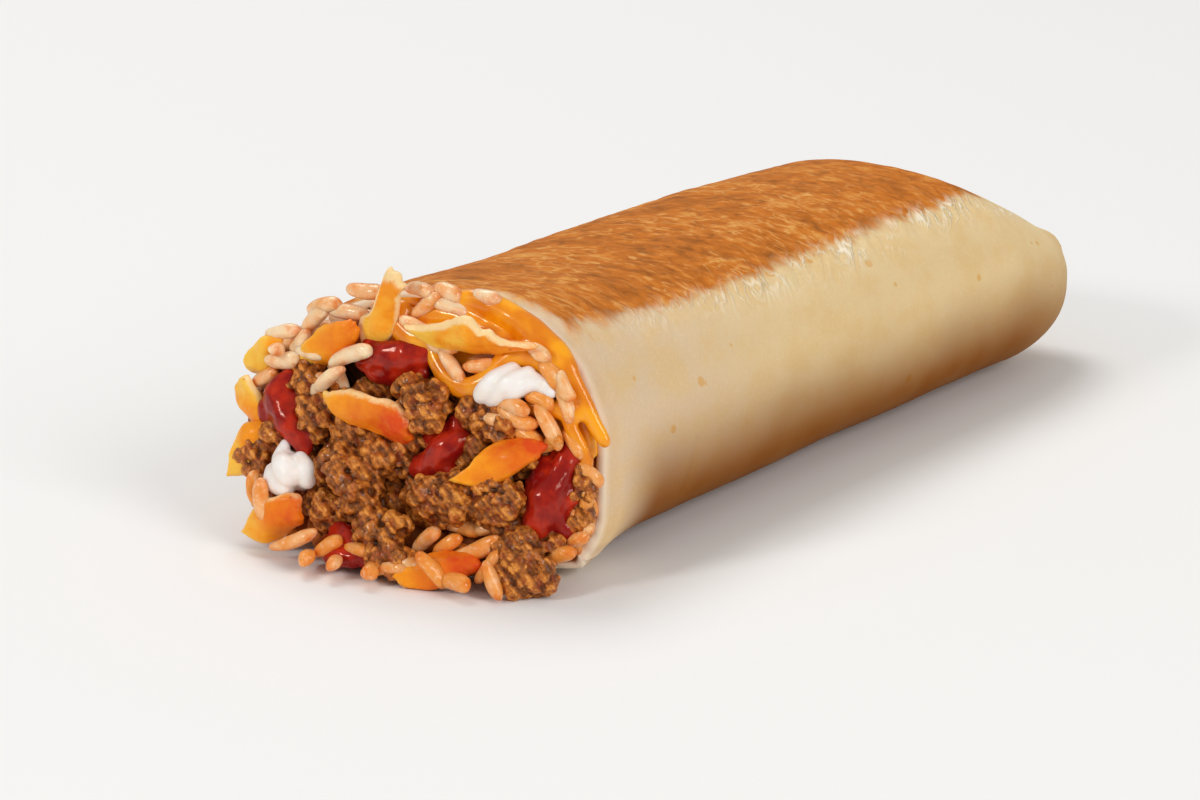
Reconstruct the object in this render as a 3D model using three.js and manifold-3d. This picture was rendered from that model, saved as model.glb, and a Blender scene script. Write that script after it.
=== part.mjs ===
// A grilled burrito lying on its flat underside: a flour tortilla rolled round seasoned minced beef, rice,
// cheese sauce, red sauce, soured cream and corn chips. One end is folded shut. At the other the filling
// slumps out. Millimetres, +Z up. +Y runs from the open end to the folded tip, and the origin is under the
// middle of the whole.
import * as THREE from "three";
import { mergeVertices } from "three/addons/utils/BufferGeometryUtils.js";
import Module from "manifold-3d";

const wasm = await Module();
wasm.setup();

// ---------------------------------------------------------------- driving sizes

const { degToRad, clamp } = THREE.MathUtils;

const LENGTH = 143; // tortilla, from the rim of the open end to the folded tip
const HALF_WIDTH = 29;
const HEIGHT = 34.5;
const SHEET = 1.8; // thickness of the rolled tortilla
const GAP = 0.3; // clearance between touching solids

const RIM_FLARE = 3.8; // how much the open end is raised, most in the direction of the angle
const FLARE_ANGLE = degToRad(50);
const FLARE_REACH = 16;
const RIM_DROOP = 3.5; // and how much its left shoulder has sunk
const DROOP_ANGLE = degToRad(150);
const RIM_SQUARING = 2.5; // the rim's right foot has an exponent this much above the section's
const SQUARING_REACH = 5;
const RIM_LEAN = 1.5; // the left of the rim is this much further back than the right
const RIM_LIP = 3.5; // and the torn lip low on the right comes this much forward
const LIP_ANGLE = -0.95;
const LIP_SPREAD = 0.3;

const BACK_SLIMMING = 0.04; // the roll gets narrower and lower on its way back, and bends to the right
const BACK_LOWERING = 0.04;
const BACK_BEND = 2;

const TOP_TAPER = 31; // stretches at the folded end over which roof, floor and sides come together
const FLOOR_TAPER = 17;
const SIDE_TAPER = 24;
const TIP_HEIGHT = 16.6;
const TIP_LIP = 2.8; // half the thickness of the folded lip
const TIP_CREASE = 2.5; // depth of the crease between its two sheets
const TIP_NARROWING = 0.24;

const BELLY = 0.44; // height of the widest line, as a share of the section
const ROOF_SQUARENESS = 2.5; // exponents of the section, 2 being an ellipse
const FLOOR_SQUARENESS = 2.9;
const REST_SAG = 0.7; // the underside is pressed flat by this much

const SEAM_ANGLE = degToRad(200); // where the outer turn of the roll ends, low on the left
const SEAM_STEP = 2.2;
const SEAM_FADE = 0.45;

const FOOT_SLUMP = 14; // how far the filling has slid out past the rim, at the foot and at the crown
const CROWN_SLUMP = 3;
const SLUMP_LEAN = 3.5; // and how much further on the left than in the middle
const TOE_SLUMP = 4; // and how much further again where it lies on the surface below

// The beef, inside the ring of rice.
const CORE = { x: 0.5, z: 17.2, halfWidth: 22, halfHeight: 9.6, squareness: 2.5 };
const FILLING_END = LENGTH - 25;
const POURED_END = LENGTH - 42;
const CHEESE_FROM = degToRad(4); // from here to there the ring is cheese sauce instead of rice
const CHEESE_TO = degToRad(97);

const COLOURS = {
  tortilla: 0xe9cd9a,
  beef: 0x8a5524,
  rice: 0xf0a765,
  cheese: 0xf79a1c,
  red: 0xa3211c,
  cream: 0xf6efe6,
  chip: 0xf28a2b,
};

// ---------------------------------------------------------------- helpers

const FULL_TURN = 2 * Math.PI;
const ramp = (v, from, to) => clamp((v - from) / (to - from), 0, 1);
const signedPower = (v, power) => Math.sign(v) * Math.abs(v) ** power;
const between = (from, to, share) => from + (to - from) * share;
const evenly = (count, from, to) => Array.from({ length: count + 1 }, (_, i) => between(from, to, i / count));
const union = (solids) => solids.reduce((all, solid) => all.add(solid));

// A repeatable source of numbers from 0 to 1.
function randomFrom(seed) {
  let state = seed;
  return () => {
    state = (state + 0x6d2b79f5) | 0;
    let t = Math.imul(state ^ (state >>> 15), 1 | state);
    t = (t + Math.imul(t ^ (t >>> 7), 61 | t)) ^ t;
    return ((t ^ (t >>> 14)) >>> 0) / 4294967296;
  };
}

function toSolid(geometry) {
  const bare = geometry.index ? geometry.toNonIndexed() : geometry.clone();
  for (const name of Object.keys(bare.attributes)) if (name !== "position") bare.deleteAttribute(name);
  const merged = mergeVertices(bare, 1e-4);
  const mesh = new wasm.Mesh({
    numProp: 3,
    vertProperties: merged.attributes.position.array,
    triVerts: new Uint32Array(merged.index.array),
  });
  mesh.merge();
  return new wasm.Manifold(mesh);
}

function toGeometry(solid) {
  const mesh = solid.getMesh();
  const geometry = new THREE.BufferGeometry();
  geometry.setAttribute("position", new THREE.BufferAttribute(mesh.vertProperties.slice(), 3));
  geometry.setIndex(new THREE.BufferAttribute(mesh.triVerts.slice(), 1));
  geometry.computeVertexNormals();
  return geometry;
}

// The largest piece. Loose scraps are dropped, and so are the skins of sealed hollows, which fills them.
function largest(solid) {
  return solid.decompose().reduce((best, piece) => (piece.volume() > best.volume() ? piece : best));
}

// Moves each vertex of a geometry to where place() says, and returns the solid.
function warp(geometry, place) {
  const position = geometry.attributes.position;
  const point = new THREE.Vector3();
  for (let i = 0; i < position.count; i++) {
    const moved = place(point.fromBufferAttribute(position, i));
    position.setXYZ(i, moved.x, moved.y, moved.z);
  }
  return toSolid(geometry);
}

// A barrel round Y through the given stations, warped by place(radius, station, angle). The radius runs from
// 0 to 1 over its two end faces.
function barrel({ sides, faceRings = 1, stations, place }) {
  const profile = [];
  for (let i = 0; i < faceRings; i++) profile.push(new THREE.Vector2(i / faceRings, stations[0]));
  for (const station of stations) profile.push(new THREE.Vector2(1, station));
  profile.push(new THREE.Vector2(0, stations[stations.length - 1]));
  return warp(new THREE.LatheGeometry(profile, sides), (v) => {
    const radius = Math.hypot(v.x, v.z);
    return place(radius, v.y, radius < 1e-6 ? 0 : Math.atan2(v.z, v.x));
  });
}

// ---------------------------------------------------------------- the tortilla's form

// Half width, roof, floor and sideways shift of the outside at a distance y behind the rim.
function outlineAt(y) {
  const share = y / LENGTH;
  const height = HEIGHT * (1 - BACK_LOWERING * share);
  const roofFall = (1 - ramp(y, LENGTH - TOP_TAPER, LENGTH) ** 1.6) ** 0.68;
  const floorFall = Math.sqrt(1 - ramp(y, LENGTH - FLOOR_TAPER, LENGTH) ** 2.2);
  const narrowing = 1 - TIP_NARROWING * ramp(y, LENGTH - SIDE_TAPER, LENGTH) ** 2.5;
  return {
    half: HALF_WIDTH * (1 - BACK_SLIMMING * share) * narrowing,
    roof: Math.max(TIP_HEIGHT + (height - TIP_HEIGHT) * roofFall, TIP_HEIGHT + TIP_LIP),
    floor: Math.min(TIP_HEIGHT * (1 - floorFall), TIP_HEIGHT - TIP_LIP) - REST_SAG,
    shift: BACK_BEND * share,
  };
}

// The hand-rolled unevenness of the sheet, outwards.
function unevenness(y, angle) {
  return 0.45 * Math.sin(y / 15 + 1.2 + 1.5 * Math.sin(angle)) + 0.3 * Math.sin(2 * angle + y / 21);
}

// How far the open end is raised or sunk in the direction of angle.
function flareAt(y, angle) {
  const facing = 0.5 + 0.5 * Math.cos(angle - FLARE_ANGLE);
  const sunk = Math.max(Math.cos(angle - DROOP_ANGLE), 0);
  return (RIM_FLARE * facing ** 2 - RIM_DROOP * sunk ** 2) * Math.exp(-y / FLARE_REACH);
}

// The free edge of the outer turn stands proud along the seam and melts into the roll above it.
function seamLip(angle) {
  const past = (((SEAM_ANGLE - angle) % FULL_TURN) + FULL_TURN) % FULL_TURN;
  return SEAM_STEP * Math.exp(-past / SEAM_FADE);
}

// A point of the section at y, in the direction of angle, inset from the outside. Ahead of the rim the
// section is the rim's own.
function skin(y, angle, inset = 0) {
  const behind = Math.max(y, 0);
  const { half, roof, floor, shift } = outlineAt(behind);
  const middle = floor + (roof - floor) * BELLY;
  const sine = Math.sin(angle);
  const squaring = RIM_SQUARING * Math.exp(-behind / SQUARING_REACH) * Math.max(Math.cos(angle), 0);
  const footSquareness = FLOOR_SQUARENESS + squaring;
  const power = 2 / (sine > 0 ? ROOF_SQUARENESS : footSquareness);
  const rise = sine > 0 ? roof - middle : middle - floor;
  const uneven = unevenness(behind, angle) * ramp(y, LENGTH, LENGTH - TOP_TAPER);
  const swell = inset ? 0 : 0.7 * (seamLip(angle) + uneven);
  const x = shift + (half - inset + swell) * signedPower(Math.cos(angle), power);
  const lifted = (swell + flareAt(behind, angle)) * Math.max(sine, 0);
  const z = middle + Math.max(rise - inset, 0.3) * signedPower(sine, power) + lifted;
  return new THREE.Vector3(x, y, Math.max(z, inset));
}

function rimAt(angle) {
  const lean = (RIM_LEAN * (1 - Math.cos(angle))) / 2;
  const lip = RIM_LIP * Math.exp(-(((angle - LIP_ANGLE) / LIP_SPREAD) ** 2));
  return 0.5 * Math.sin(3 * angle + 0.6) + lean - lip;
}

const FRONT = -1; // stands for the front face, wherever that is, at the head of a list of stations
const BODY_STATIONS = [5, 12, 22, ...evenly(4, 36, LENGTH - TOP_TAPER)];
const END_STATIONS = [25, 18.5, 13, 8.5, 5, 2.5, 1, 0].map((fromTip) => LENGTH - fromTip);
const CREASE = LENGTH + 1; // stands for the bottom of the crease, after the tip
const HOLLOW_STATIONS = [FRONT, 0, ...BODY_STATIONS, ...END_STATIONS.slice(0, 4)];
const FILLING_STATIONS = [FRONT, 0, 5, 12, 22, 40, 75, LENGTH - TOP_TAPER, FILLING_END];

function tortillaOutside(forward = 0) {
  return barrel({
    sides: 44,
    stations: [FRONT, ...BODY_STATIONS, ...END_STATIONS, CREASE],
    place: (radius, station, angle) => {
      if (station === CREASE) {
        const lip = skin(LENGTH, angle);
        const z = between(TIP_HEIGHT, lip.z, 0.1 * radius);
        return new THREE.Vector3(lip.x * 0.93 * radius, LENGTH - TIP_CREASE, z);
      }
      if (radius === 0) return new THREE.Vector3(0, station, TIP_HEIGHT);
      return skin(station === FRONT ? rimAt(angle) - forward : station, angle);
    },
  });
}

// What is inside the sheet, between a front face and where the folded sheets meet.
function inside({ inset, front, ...shape }) {
  return barrel({
    ...shape,
    place: (radius, station, angle) => {
      const wall = skin(station, angle, inset);
      const x = wall.x * radius;
      const z = CORE.z + (wall.z - CORE.z) * radius;
      return station === FRONT ? front(x, z) : new THREE.Vector3(x, station, z);
    },
  });
}

// ---------------------------------------------------------------- the filling's front

// Where the front of the filling is at (x, z): furthest out at the foot and on the left, and rounded off
// towards the sides.
function faceAt(x, z) {
  const fall = between(FOOT_SLUMP, CROWN_SLUMP, ramp(z, 0, HEIGHT)) + TOE_SLUMP * ramp(z, 7, 2) ** 2;
  const rounding = 1 - 0.45 * Math.min(Math.abs(x) / HALF_WIDTH, 1) ** 4;
  return (SLUMP_LEAN * x) / HALF_WIDTH - fall * rounding;
}

const onFace = (x, z, out = 0) => new THREE.Vector3(x, faceAt(x, z) - out, z);

// In front of the tortilla the foot of the filling sinks onto the surface that it lies on.
function slumped(x, z, grow = 0) {
  return new THREE.Vector3(x, faceAt(x, z) - grow, z - (SHEET + GAP) * ramp(z, 8, 2));
}

// Everything that fills the tortilla, clear of it, as one body.
function packedSolid(grow = 0) {
  return inside({
    inset: SHEET + 1.2 * GAP - grow,
    front: (x, z) => slumped(x, z, grow),
    sides: 26,
    faceRings: 3,
    stations: FILLING_STATIONS,
  });
}

// The beef's bare core, grown outwards by a clearance.
function coreSolid(grow) {
  const power = 2 / CORE.squareness;
  const end = FILLING_END - 6 + grow;
  return barrel({
    sides: 26,
    faceRings: 2,
    stations: [FRONT, 40, end],
    place: (radius, station, angle) => {
      const x = CORE.x + (CORE.halfWidth + grow) * radius * signedPower(Math.cos(angle), power);
      const z = CORE.z + (CORE.halfHeight + grow) * radius * signedPower(Math.sin(angle), power);
      return new THREE.Vector3(x, station === FRONT ? faceAt(x, z) - grow : station, z);
    },
  });
}

// A rounded lump: an icosahedron pulled about at its corners, stretched and turned.
function lump({ at, size, turn = [0, 0, 0], rough = 0.3, seed = 1, grow = 0 }) {
  const matrix = new THREE.Matrix4().compose(
    at,
    new THREE.Quaternion().setFromEuler(new THREE.Euler(...turn)),
    new THREE.Vector3(...size).addScalar(grow),
  );
  return warp(new THREE.IcosahedronGeometry(1, 1), (v) => {
    const wave = Math.sin(4.1 * v.x + seed) + Math.sin(3.7 * v.y - seed) + Math.sin(4.7 * v.z + 2 * seed);
    return v.clone().multiplyScalar(1 + (rough * wave) / 3).applyMatrix4(matrix);
  });
}

// ---------------------------------------------------------------- beef

const CRUMB_ROWS = 3;
const CRUMB_COLUMNS = 5;
const STRAY_CRUMBS = [
  { at: [16.8, -12.5, 6], radius: 4.2 },
  { at: [21.8, -13.6, 4.3], radius: 3.8 },
  { at: [26.8, -11.8, 3.8], radius: 3.4 },
  { at: [4.3, -15, 4.3], radius: 3.8 },
  { at: [-20.5, -11.5, 12.5], radius: 3.4 },
];

// Crumbs of minced beef in staggered rows over the front of the core, each a little off its place.
function beefCrumbs() {
  const random = randomFrom(11);
  const crumbs = [];
  for (let row = 0; row < CRUMB_ROWS; row++) {
    for (let column = 0; column < CRUMB_COLUMNS; column++) {
      const u = (2 * (column + 0.5 * (row % 2))) / (CRUMB_COLUMNS - 0.5) - 1 + 0.08 * (random() - 0.5);
      const v = (2 * row) / (CRUMB_ROWS - 1) - 1 + 0.12 * (random() - 0.5);
      const x = CORE.x + 0.9 * CORE.halfWidth * Math.sqrt(1 - 0.35 * v * v) * u;
      const z = CORE.z - 1.6 + 0.74 * CORE.halfHeight * v;
      const radius = 3.7 + 1.1 * random();
      const size = [radius * 1.2, radius, radius * (0.85 + 0.25 * random())];
      const seed = row * CRUMB_COLUMNS + column;
      crumbs.push({ at: onFace(x, z, -0.8), size, seed, turn: [0, 3 * random(), 0] });
    }
  }
  for (const { at, radius } of STRAY_CRUMBS) {
    crumbs.push({ at: new THREE.Vector3(...at), size: [radius, radius, radius], seed: at[0] });
  }
  return crumbs;
}

// ---------------------------------------------------------------- sauces and cream

// Each pours along the food as a vein, and swells where it shows at the open end.
const POURED = [
  { name: "red_sauce_top", colour: COLOURS.red, at: [-1.9, 27], swell: [6, 3.4], vein: 1.7, out: 3 },
  { name: "red_sauce_left", colour: COLOURS.red, at: [-15.2, 18.4], swell: [3.2, 5.2], vein: 1.7, out: 3.4 },
  { name: "red_sauce_middle", colour: COLOURS.red, at: [9.6, 17.4], swell: [3.6, 3], vein: 1.7, out: 3 },
  { name: "red_sauce_right", colour: COLOURS.red, at: [23.6, 12.8], swell: [3.2, 5.4], vein: 1.7, out: 3 },
  { name: "red_sauce_foot", colour: COLOURS.red, at: [-3.4, 5], swell: [2.6, 2], vein: 1.4, out: 2.6 },
  { name: "sour_cream_top", colour: COLOURS.cream, at: [17.3, 26.2], swell: [5.2, 2.9], vein: 1.8, out: 4 },
  { name: "sour_cream_left", colour: COLOURS.cream, at: [-14.6, 10.6], swell: [4, 3.3], vein: 1.8, out: 5 },
];
const SWELL_REACH = 9; // how far behind its front a swelling has shrunk to the vein
const VEIN_GATHER = 0.25; // veins close in on the core's axis by this share along their length

function pouredSolid({ at, swell, vein, out }, grow = 0) {
  const [x, z] = at;
  const start = faceAt(x, z) - out - grow;
  return barrel({
    sides: 8,
    faceRings: 2,
    stations: [0, 1, 4, SWELL_REACH, POURED_END + grow],
    place: (radius, station, angle) => {
      const bulge = Math.sqrt(1 - ramp(station, 1, SWELL_REACH));
      const dome = station === 0 ? 0.75 : 1;
      const gathered = VEIN_GATHER * ramp(station, SWELL_REACH, POURED_END);
      const halfX = (vein + (swell[0] - vein) * bulge) * dome * (1 + 0.12 * Math.sin(2 * angle + x)) + grow;
      const halfZ = (vein + (swell[1] - vein) * bulge) * dome + grow;
      return new THREE.Vector3(
        x * (1 - gathered) + halfX * radius * Math.cos(angle),
        station < POURED_END ? start + station + (station === 0 ? 0.6 * radius ** 2 : 0) : station,
        z + (CORE.z - z) * gathered + halfZ * radius * Math.sin(angle),
      );
    },
  });
}

// ---------------------------------------------------------------- corn chips

// Curled chips lying on the front: middle, how far out, length and width, the slope of the long axis across
// the face, how much its right end is swung back and the roll about it in degrees, and curl as a share of the
// width.
const CHIPS = [
  { name: "chip_centre", at: [-2.3, 20.6], out: 4.4, size: [15.5, 7], turn: [-17, 1, 20], curl: 0.3 },
  { name: "chip_right", at: [18.1, 17.2], out: 4.2, size: [15, 5.8], turn: [22, 19, -24], curl: 0.34 },
  { name: "chip_crest", at: [9.6, 32.2], out: 3, size: [18.5, 5], turn: [-8, 5, 42], curl: 0.4 },
  { name: "chip_shoulder", at: [-11, 29.8], out: 2.4, size: [12, 5.6], turn: [31, 14, 24], curl: 0.36 },
  { name: "chip_peak", at: [-2.6, 33.6], out: 2.6, size: [13, 4.8], turn: [67, 13, 34], curl: 0.3 },
  { name: "chip_corner", at: [-21.1, 26.8], out: 1.6, size: [9.5, 5], turn: [29, 6, 10], curl: 0.4 },
  { name: "chip_side", at: [-23.7, 19.8], out: 1.6, size: [8, 5], turn: [-62, -10, 12], curl: 0.3 },
  { name: "chip_flank", at: [-23.6, 12.6], out: 1.8, size: [9, 4.6], turn: [50, 4, -14], curl: 0.34 },
  { name: "chip_foot", at: [-17, 5.6], out: 2.6, size: [12.5, 6.6], turn: [30, 8, 14], curl: 0.36 },
  { name: "chip_bottom", at: [11.4, 4], out: 3.4, size: [10, 5.2], turn: [14, 12, -38], curl: 0.4 },
];
const CHIP_THICKNESS = 1.3;

// A chip's own frame has its length along X and its width along Z. It curls towards +Y, is pointed at the
// ends and ripples along its edges.
function chipSolid({ at, out, size, turn, curl }, grow = 0) {
  const [slope, swing, roll] = turn.map(degToRad);
  const halfLength = size[0] / 2;
  const halfWidth = size[1] / 2;
  const placed = new THREE.Matrix4()
    .makeRotationFromEuler(new THREE.Euler(roll, -slope, swing, "YZX"))
    .setPosition(onFace(at[0], at[1], out));
  return warp(new THREE.BoxGeometry(2, 2, 2, 7, 1, 2), (v) => {
    const pointed = Math.sqrt(1 - 0.86 * Math.abs(v.x) ** 2.2);
    const x = v.x * (halfLength + grow);
    const z = v.z * (halfWidth * pointed + grow);
    const bow = curl * halfWidth * (1.2 * (z / halfWidth) ** 2 + 0.8 * (x / halfLength) ** 2);
    const ripple = (0.35 * Math.sin((5 * x) / halfLength + at[0]) * z) / halfWidth;
    const y = bow + ripple + v.y * (CHIP_THICKNESS / 2 + grow);
    return new THREE.Vector3(x, y, z + 0.5 * Math.sin((2.4 * x) / halfLength)).applyMatrix4(placed);
  });
}

// ---------------------------------------------------------------- rice

const GRAIN = { length: 7.6, width: 2.5 };
const GRAIN_TRIES = 1500;
const MOST_GRAINS = 60;
const GOLDEN_TURN = Math.PI * (3 - Math.sqrt(5));

function grainSolid(at, turn, scale) {
  const grain = new THREE.SphereGeometry(1, 6, 4);
  grain.rotateZ(Math.PI / 2); // poles to the ends of the grain
  const matrix = new THREE.Matrix4().compose(
    at,
    new THREE.Quaternion().setFromEuler(turn),
    new THREE.Vector3(GRAIN.length, GRAIN.width, GRAIN.width).multiplyScalar(scale / 2),
  );
  return warp(grain, (v) => v.clone().applyMatrix4(matrix));
}

// Grains spread by the golden angle over the ring round the beef, leaving out the ones that would cross other
// food or lie too deep in another grain.
function riceGrains(obstacles) {
  const random = randomFrom(5);
  const kept = [];
  for (let i = 0; i < GRAIN_TRIES && kept.length < MOST_GRAINS; i++) {
    const angle = i * GOLDEN_TURN;
    const depth = 0.62 + 0.36 * Math.sqrt(random());
    const wall = skin(0, angle, SHEET + GAP);
    const spot = slumped(wall.x * depth, CORE.z + (wall.z - CORE.z) * depth);
    spot.y -= 0.2 + 1.2 * random();
    const turn = new THREE.Euler(0, angle + 2 * (random() - 0.5), 0.8 * (random() - 0.5), "YZX");
    const loose = grainSolid(spot, turn, 0.88 + 0.24 * random());
    const grain = loose.translate([0, 0, Math.max(0, 0.1 - loose.boundingBox().min[2])]);
    const most = 0.2 * grain.volume();
    const clear = grain.intersect(obstacles).isEmpty();
    if (clear && kept.every((other) => grain.intersect(other).volume() < most)) kept.push(grain);
  }
  return kept;
}

// ---------------------------------------------------------------- cheese sauce

// The wedge of the section that the cheese sauce fills, run along the food.
function cheeseWedge(margin) {
  const pie = new THREE.Shape();
  pie.absarc(0, 0, 2 * HALF_WIDTH, CHEESE_FROM - margin, CHEESE_TO + margin, false);
  pie.lineTo(0, 0);
  const wedge = new THREE.ExtrudeGeometry(pie, { depth: 2 * LENGTH, bevelEnabled: false, curveSegments: 6 });
  wedge.rotateX(Math.PI / 2); // the shape's plane becomes XZ, and its depth runs along -Y
  wedge.translate(0, 1.5 * LENGTH, CORE.z);
  return toSolid(wedge);
}

// Where the melted sauce hangs over the beef and out over the rim.
const CHEESE_DRIPS = [
  { at: [3.6, 28.2], out: 0.6, size: [4, 2, 3] },
  { at: [10.5, 27.8], out: 0.4, size: [4.6, 1.9, 2.4] },
  { at: [20.5, 30.2], out: 0.4, size: [5, 2.2, 2.8] },
  { at: [25.4, 20.5], out: 0.8, size: [1.8, 1.9, 5] },
  { at: [1.8, 33.6], out: 0.6, size: [4.4, 2.2, 2.6] },
];

const dripSolid = ({ at, out, size }, grow) =>
  lump({ at: onFace(at[0], at[1], out), size, seed: at[0], rough: 0.12, grow });

// ---------------------------------------------------------------- assembly

const burrito = new THREE.Group();

function addPart(name, solid, colour, roughness) {
  const material = new THREE.MeshStandardMaterial({ color: colour, roughness, metalness: 0 });
  const mesh = new THREE.Mesh(toGeometry(solid), material);
  mesh.name = name;
  burrito.add(mesh);
}

const wideOpen = (x, z) => new THREE.Vector3(x, -2 * FOOT_SLUMP, z);
const hollow = inside({ inset: SHEET, front: wideOpen, sides: 36, stations: HOLLOW_STATIONS });
const clearance = inside({ inset: SHEET + GAP, front: wideOpen, sides: 26, stations: FILLING_STATIONS });
const aroundTortilla = tortillaOutside(GAP).subtract(clearance);
addPart("tortilla", largest(tortillaOutside().subtract(hollow)), COLOURS.tortilla, 0.6);

let aroundChips = aroundTortilla;
for (const chip of CHIPS) {
  addPart(chip.name, largest(chipSolid(chip).subtract(aroundChips)), COLOURS.chip, 0.55);
  aroundChips = aroundChips.add(chipSolid(chip, GAP));
}

for (const pour of POURED) {
  addPart(pour.name, largest(pouredSolid(pour).subtract(aroundChips)), pour.colour, 0.25);
}
const aroundPoured = union(POURED.map((pour) => pouredSolid(pour, GAP)));
const aroundToppings = aroundChips.add(aroundPoured);

const cheeseBody = packedSolid().subtract(coreSolid(GAP)).intersect(cheeseWedge(0));
const drips = union(CHEESE_DRIPS.map((drip) => dripSolid(drip, 0)));
addPart("cheese_sauce", largest(cheeseBody.add(drips).subtract(aroundToppings)), COLOURS.cheese, 0.3);
const cheeseRoom = packedSolid(GAP / 10).subtract(coreSolid(GAP / 2)).intersect(cheeseWedge(0.02));
const aroundCheese = union([cheeseRoom, ...CHEESE_DRIPS.map((drip) => dripSolid(drip, GAP))]);

const crumbs = beefCrumbs();
const beefBody = union([coreSolid(0), ...crumbs.map((crumb) => lump(crumb))]);
addPart("beef", largest(beefBody.subtract(aroundToppings).subtract(aroundCheese)), COLOURS.beef, 0.6);
const aroundBeef = union([coreSolid(GAP), ...crumbs.map((crumb) => lump({ ...crumb, grow: GAP }))]);

const taken = union([aroundToppings, aroundCheese, aroundBeef]);
addPart("rice", largest(union([packedSolid().subtract(taken), ...riceGrains(taken)])), COLOURS.rice, 0.45);

// The origin is under the middle of everything, on the surface that the burrito lies on.
const bounds = new THREE.Box3().setFromObject(burrito);
const middle = bounds.getCenter(new THREE.Vector3());
burrito.position.set(-middle.x, -middle.y, -bounds.min.z);

export default burrito;
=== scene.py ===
"""Dresses the solids of a grilled burrito, laid out as an add-on and run as a script.

Forms are worked out in millimetres in the roll's own frame: X across, Y from the rim of the open end to the
folded tip, Z up. Meshes are in metres in the part's frame.
"""

import math
import random
from itertools import product

import bmesh
import bpy
import numpy as np
from mathutils import Euler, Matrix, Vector


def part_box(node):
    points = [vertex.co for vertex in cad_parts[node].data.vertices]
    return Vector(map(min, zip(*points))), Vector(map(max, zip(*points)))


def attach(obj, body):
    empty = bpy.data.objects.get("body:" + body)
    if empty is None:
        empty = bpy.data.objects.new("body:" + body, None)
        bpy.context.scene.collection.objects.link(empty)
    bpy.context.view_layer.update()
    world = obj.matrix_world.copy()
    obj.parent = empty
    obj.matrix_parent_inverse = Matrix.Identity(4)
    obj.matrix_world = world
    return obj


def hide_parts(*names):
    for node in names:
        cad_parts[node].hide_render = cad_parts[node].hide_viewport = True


bl_info = {
    "name": "Grilled burrito",
    "version": (1, 0, 0),
    "blender": (4, 5, 0),
    "location": "View3D > Sidebar > Burrito",
    "description": "Builds a grilled burrito with an open end over its solids",
    "category": "Add Mesh",
}

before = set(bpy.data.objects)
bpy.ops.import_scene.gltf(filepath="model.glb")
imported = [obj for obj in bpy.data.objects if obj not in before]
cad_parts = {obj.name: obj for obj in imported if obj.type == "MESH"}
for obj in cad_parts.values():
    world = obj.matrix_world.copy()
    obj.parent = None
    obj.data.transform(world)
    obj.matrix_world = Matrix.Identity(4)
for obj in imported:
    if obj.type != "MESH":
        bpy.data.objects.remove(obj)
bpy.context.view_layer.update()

# ------------------------------------------------------------------ sizes, in millimetres

MM = 0.001
LENGTH = 143.0
HALF_WIDTH = 29.0
HEIGHT = 34.5
SHEET = 1.8
GAP = 0.3
WALL = SHEET + 1.2 * GAP
RIM_FLARE, FLARE_ANGLE, FLARE_REACH = 3.8, math.radians(50), 16.0
RIM_DROOP, DROOP_ANGLE = 3.5, math.radians(150)
RIM_SQUARING, SQUARING_REACH = 2.5, 5.0
RIM_LEAN, RIM_LIP, LIP_ANGLE, LIP_SPREAD = 1.5, 3.5, -0.95, 0.3
BACK_SLIMMING, BACK_LOWERING, BACK_BEND = 0.04, 0.04, 2.0
WAIST_SINK, WAIST_AT, WAIST_REACH = 0.4, 66, 40
TOP_TAPER, FLOOR_TAPER, SIDE_TAPER = 27.6, 21.0, 24.0
TOP_POWER, FLOOR_POWER, SIDE_POWER = 1.15, 1.8, 3.3
TIP_HEIGHT, TIP_LIP, TIP_CREASE, TIP_NARROWING = 16.6, 2.8, 2.5, 0.27
TIP_TOP = TIP_HEIGHT + 1.43 * TIP_LIP
BELLY, ROOF_SQUARENESS, FLOOR_SQUARENESS, REST_SAG = 0.44, 2.5, 2.9, 0.7
SEAM_ANGLE, SEAM_STEP, SEAM_FADE = math.radians(200), 2.2, 0.45
FOOT_SLUMP, CROWN_SLUMP, SLUMP_LEAN, TOE_SLUMP = 14.0, 3.0, 3.5, 4.0
CORE_X, CORE_Z, CORE_HALF_WIDTH, CORE_HALF_HEIGHT = 0.5, 17.2, 22.0, 9.6
FILLING_END = LENGTH - 25
POURED_END = LENGTH - 42
RING_STATIONS = (0, 2, 12, 40, 75, 112, FILLING_END)
CORE_STATIONS = (2, 12, 40, 80, FILLING_END - 6)
VEIN_RADIUS = 1.3
GROUND_GAP = 0.2
CHEESE_FROM, CHEESE_TO = math.radians(4), math.radians(97)
AXIS_OFFSET = 0.19

low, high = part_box("tortilla")
SHIFT = np.array([(low.x + high.x) / 2 / MM + AXIS_OFFSET, high.y / MM - LENGTH, 0.0])

# ------------------------------------------------------------------ numbers


def ramp(value, start, end):
    return np.clip((value - start) / (end - start), 0.0, 1.0)


def smooth_ramp(value, start, end):
    share = ramp(value, start, end)
    return share * share * (3 - 2 * share)


def bell(value, middle, spread):
    """1 at the middle, and nearer 0 the farther off."""
    return np.exp(-(((value - middle) / spread) ** 2))


def signed_power(value, power):
    return np.sign(value) * np.abs(value) ** power


def xyz(x, y, z):
    """Points from their three coordinates."""
    return np.stack([x, y, z], axis=-1)


def even_turns(count):
    """Angles spread evenly once round."""
    return np.linspace(0, 2 * math.pi, count, endpoint=False)


def golden_turn(i):
    """An angle for each whole number, far from those of the numbers next to it."""
    return i * math.pi * (3 - math.sqrt(5))


def lattice(cells, seed):
    """Repeatable random numbers from 0 to 1, one for each whole-numbered cell."""
    n = cells[..., 0] * 73856093 ^ cells[..., 1] * 19349663 ^ cells[..., 2] * 83492791 ^ seed * 26544357
    n = ((n ^ (n >> 13)) * 1274126177) & 0x7FFFFFFF
    n = ((n ^ (n >> 15)) * 668265263) & 0x7FFFFFFF
    return ((n >> 7) & 0xFFFF) / 0xFFFF


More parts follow.
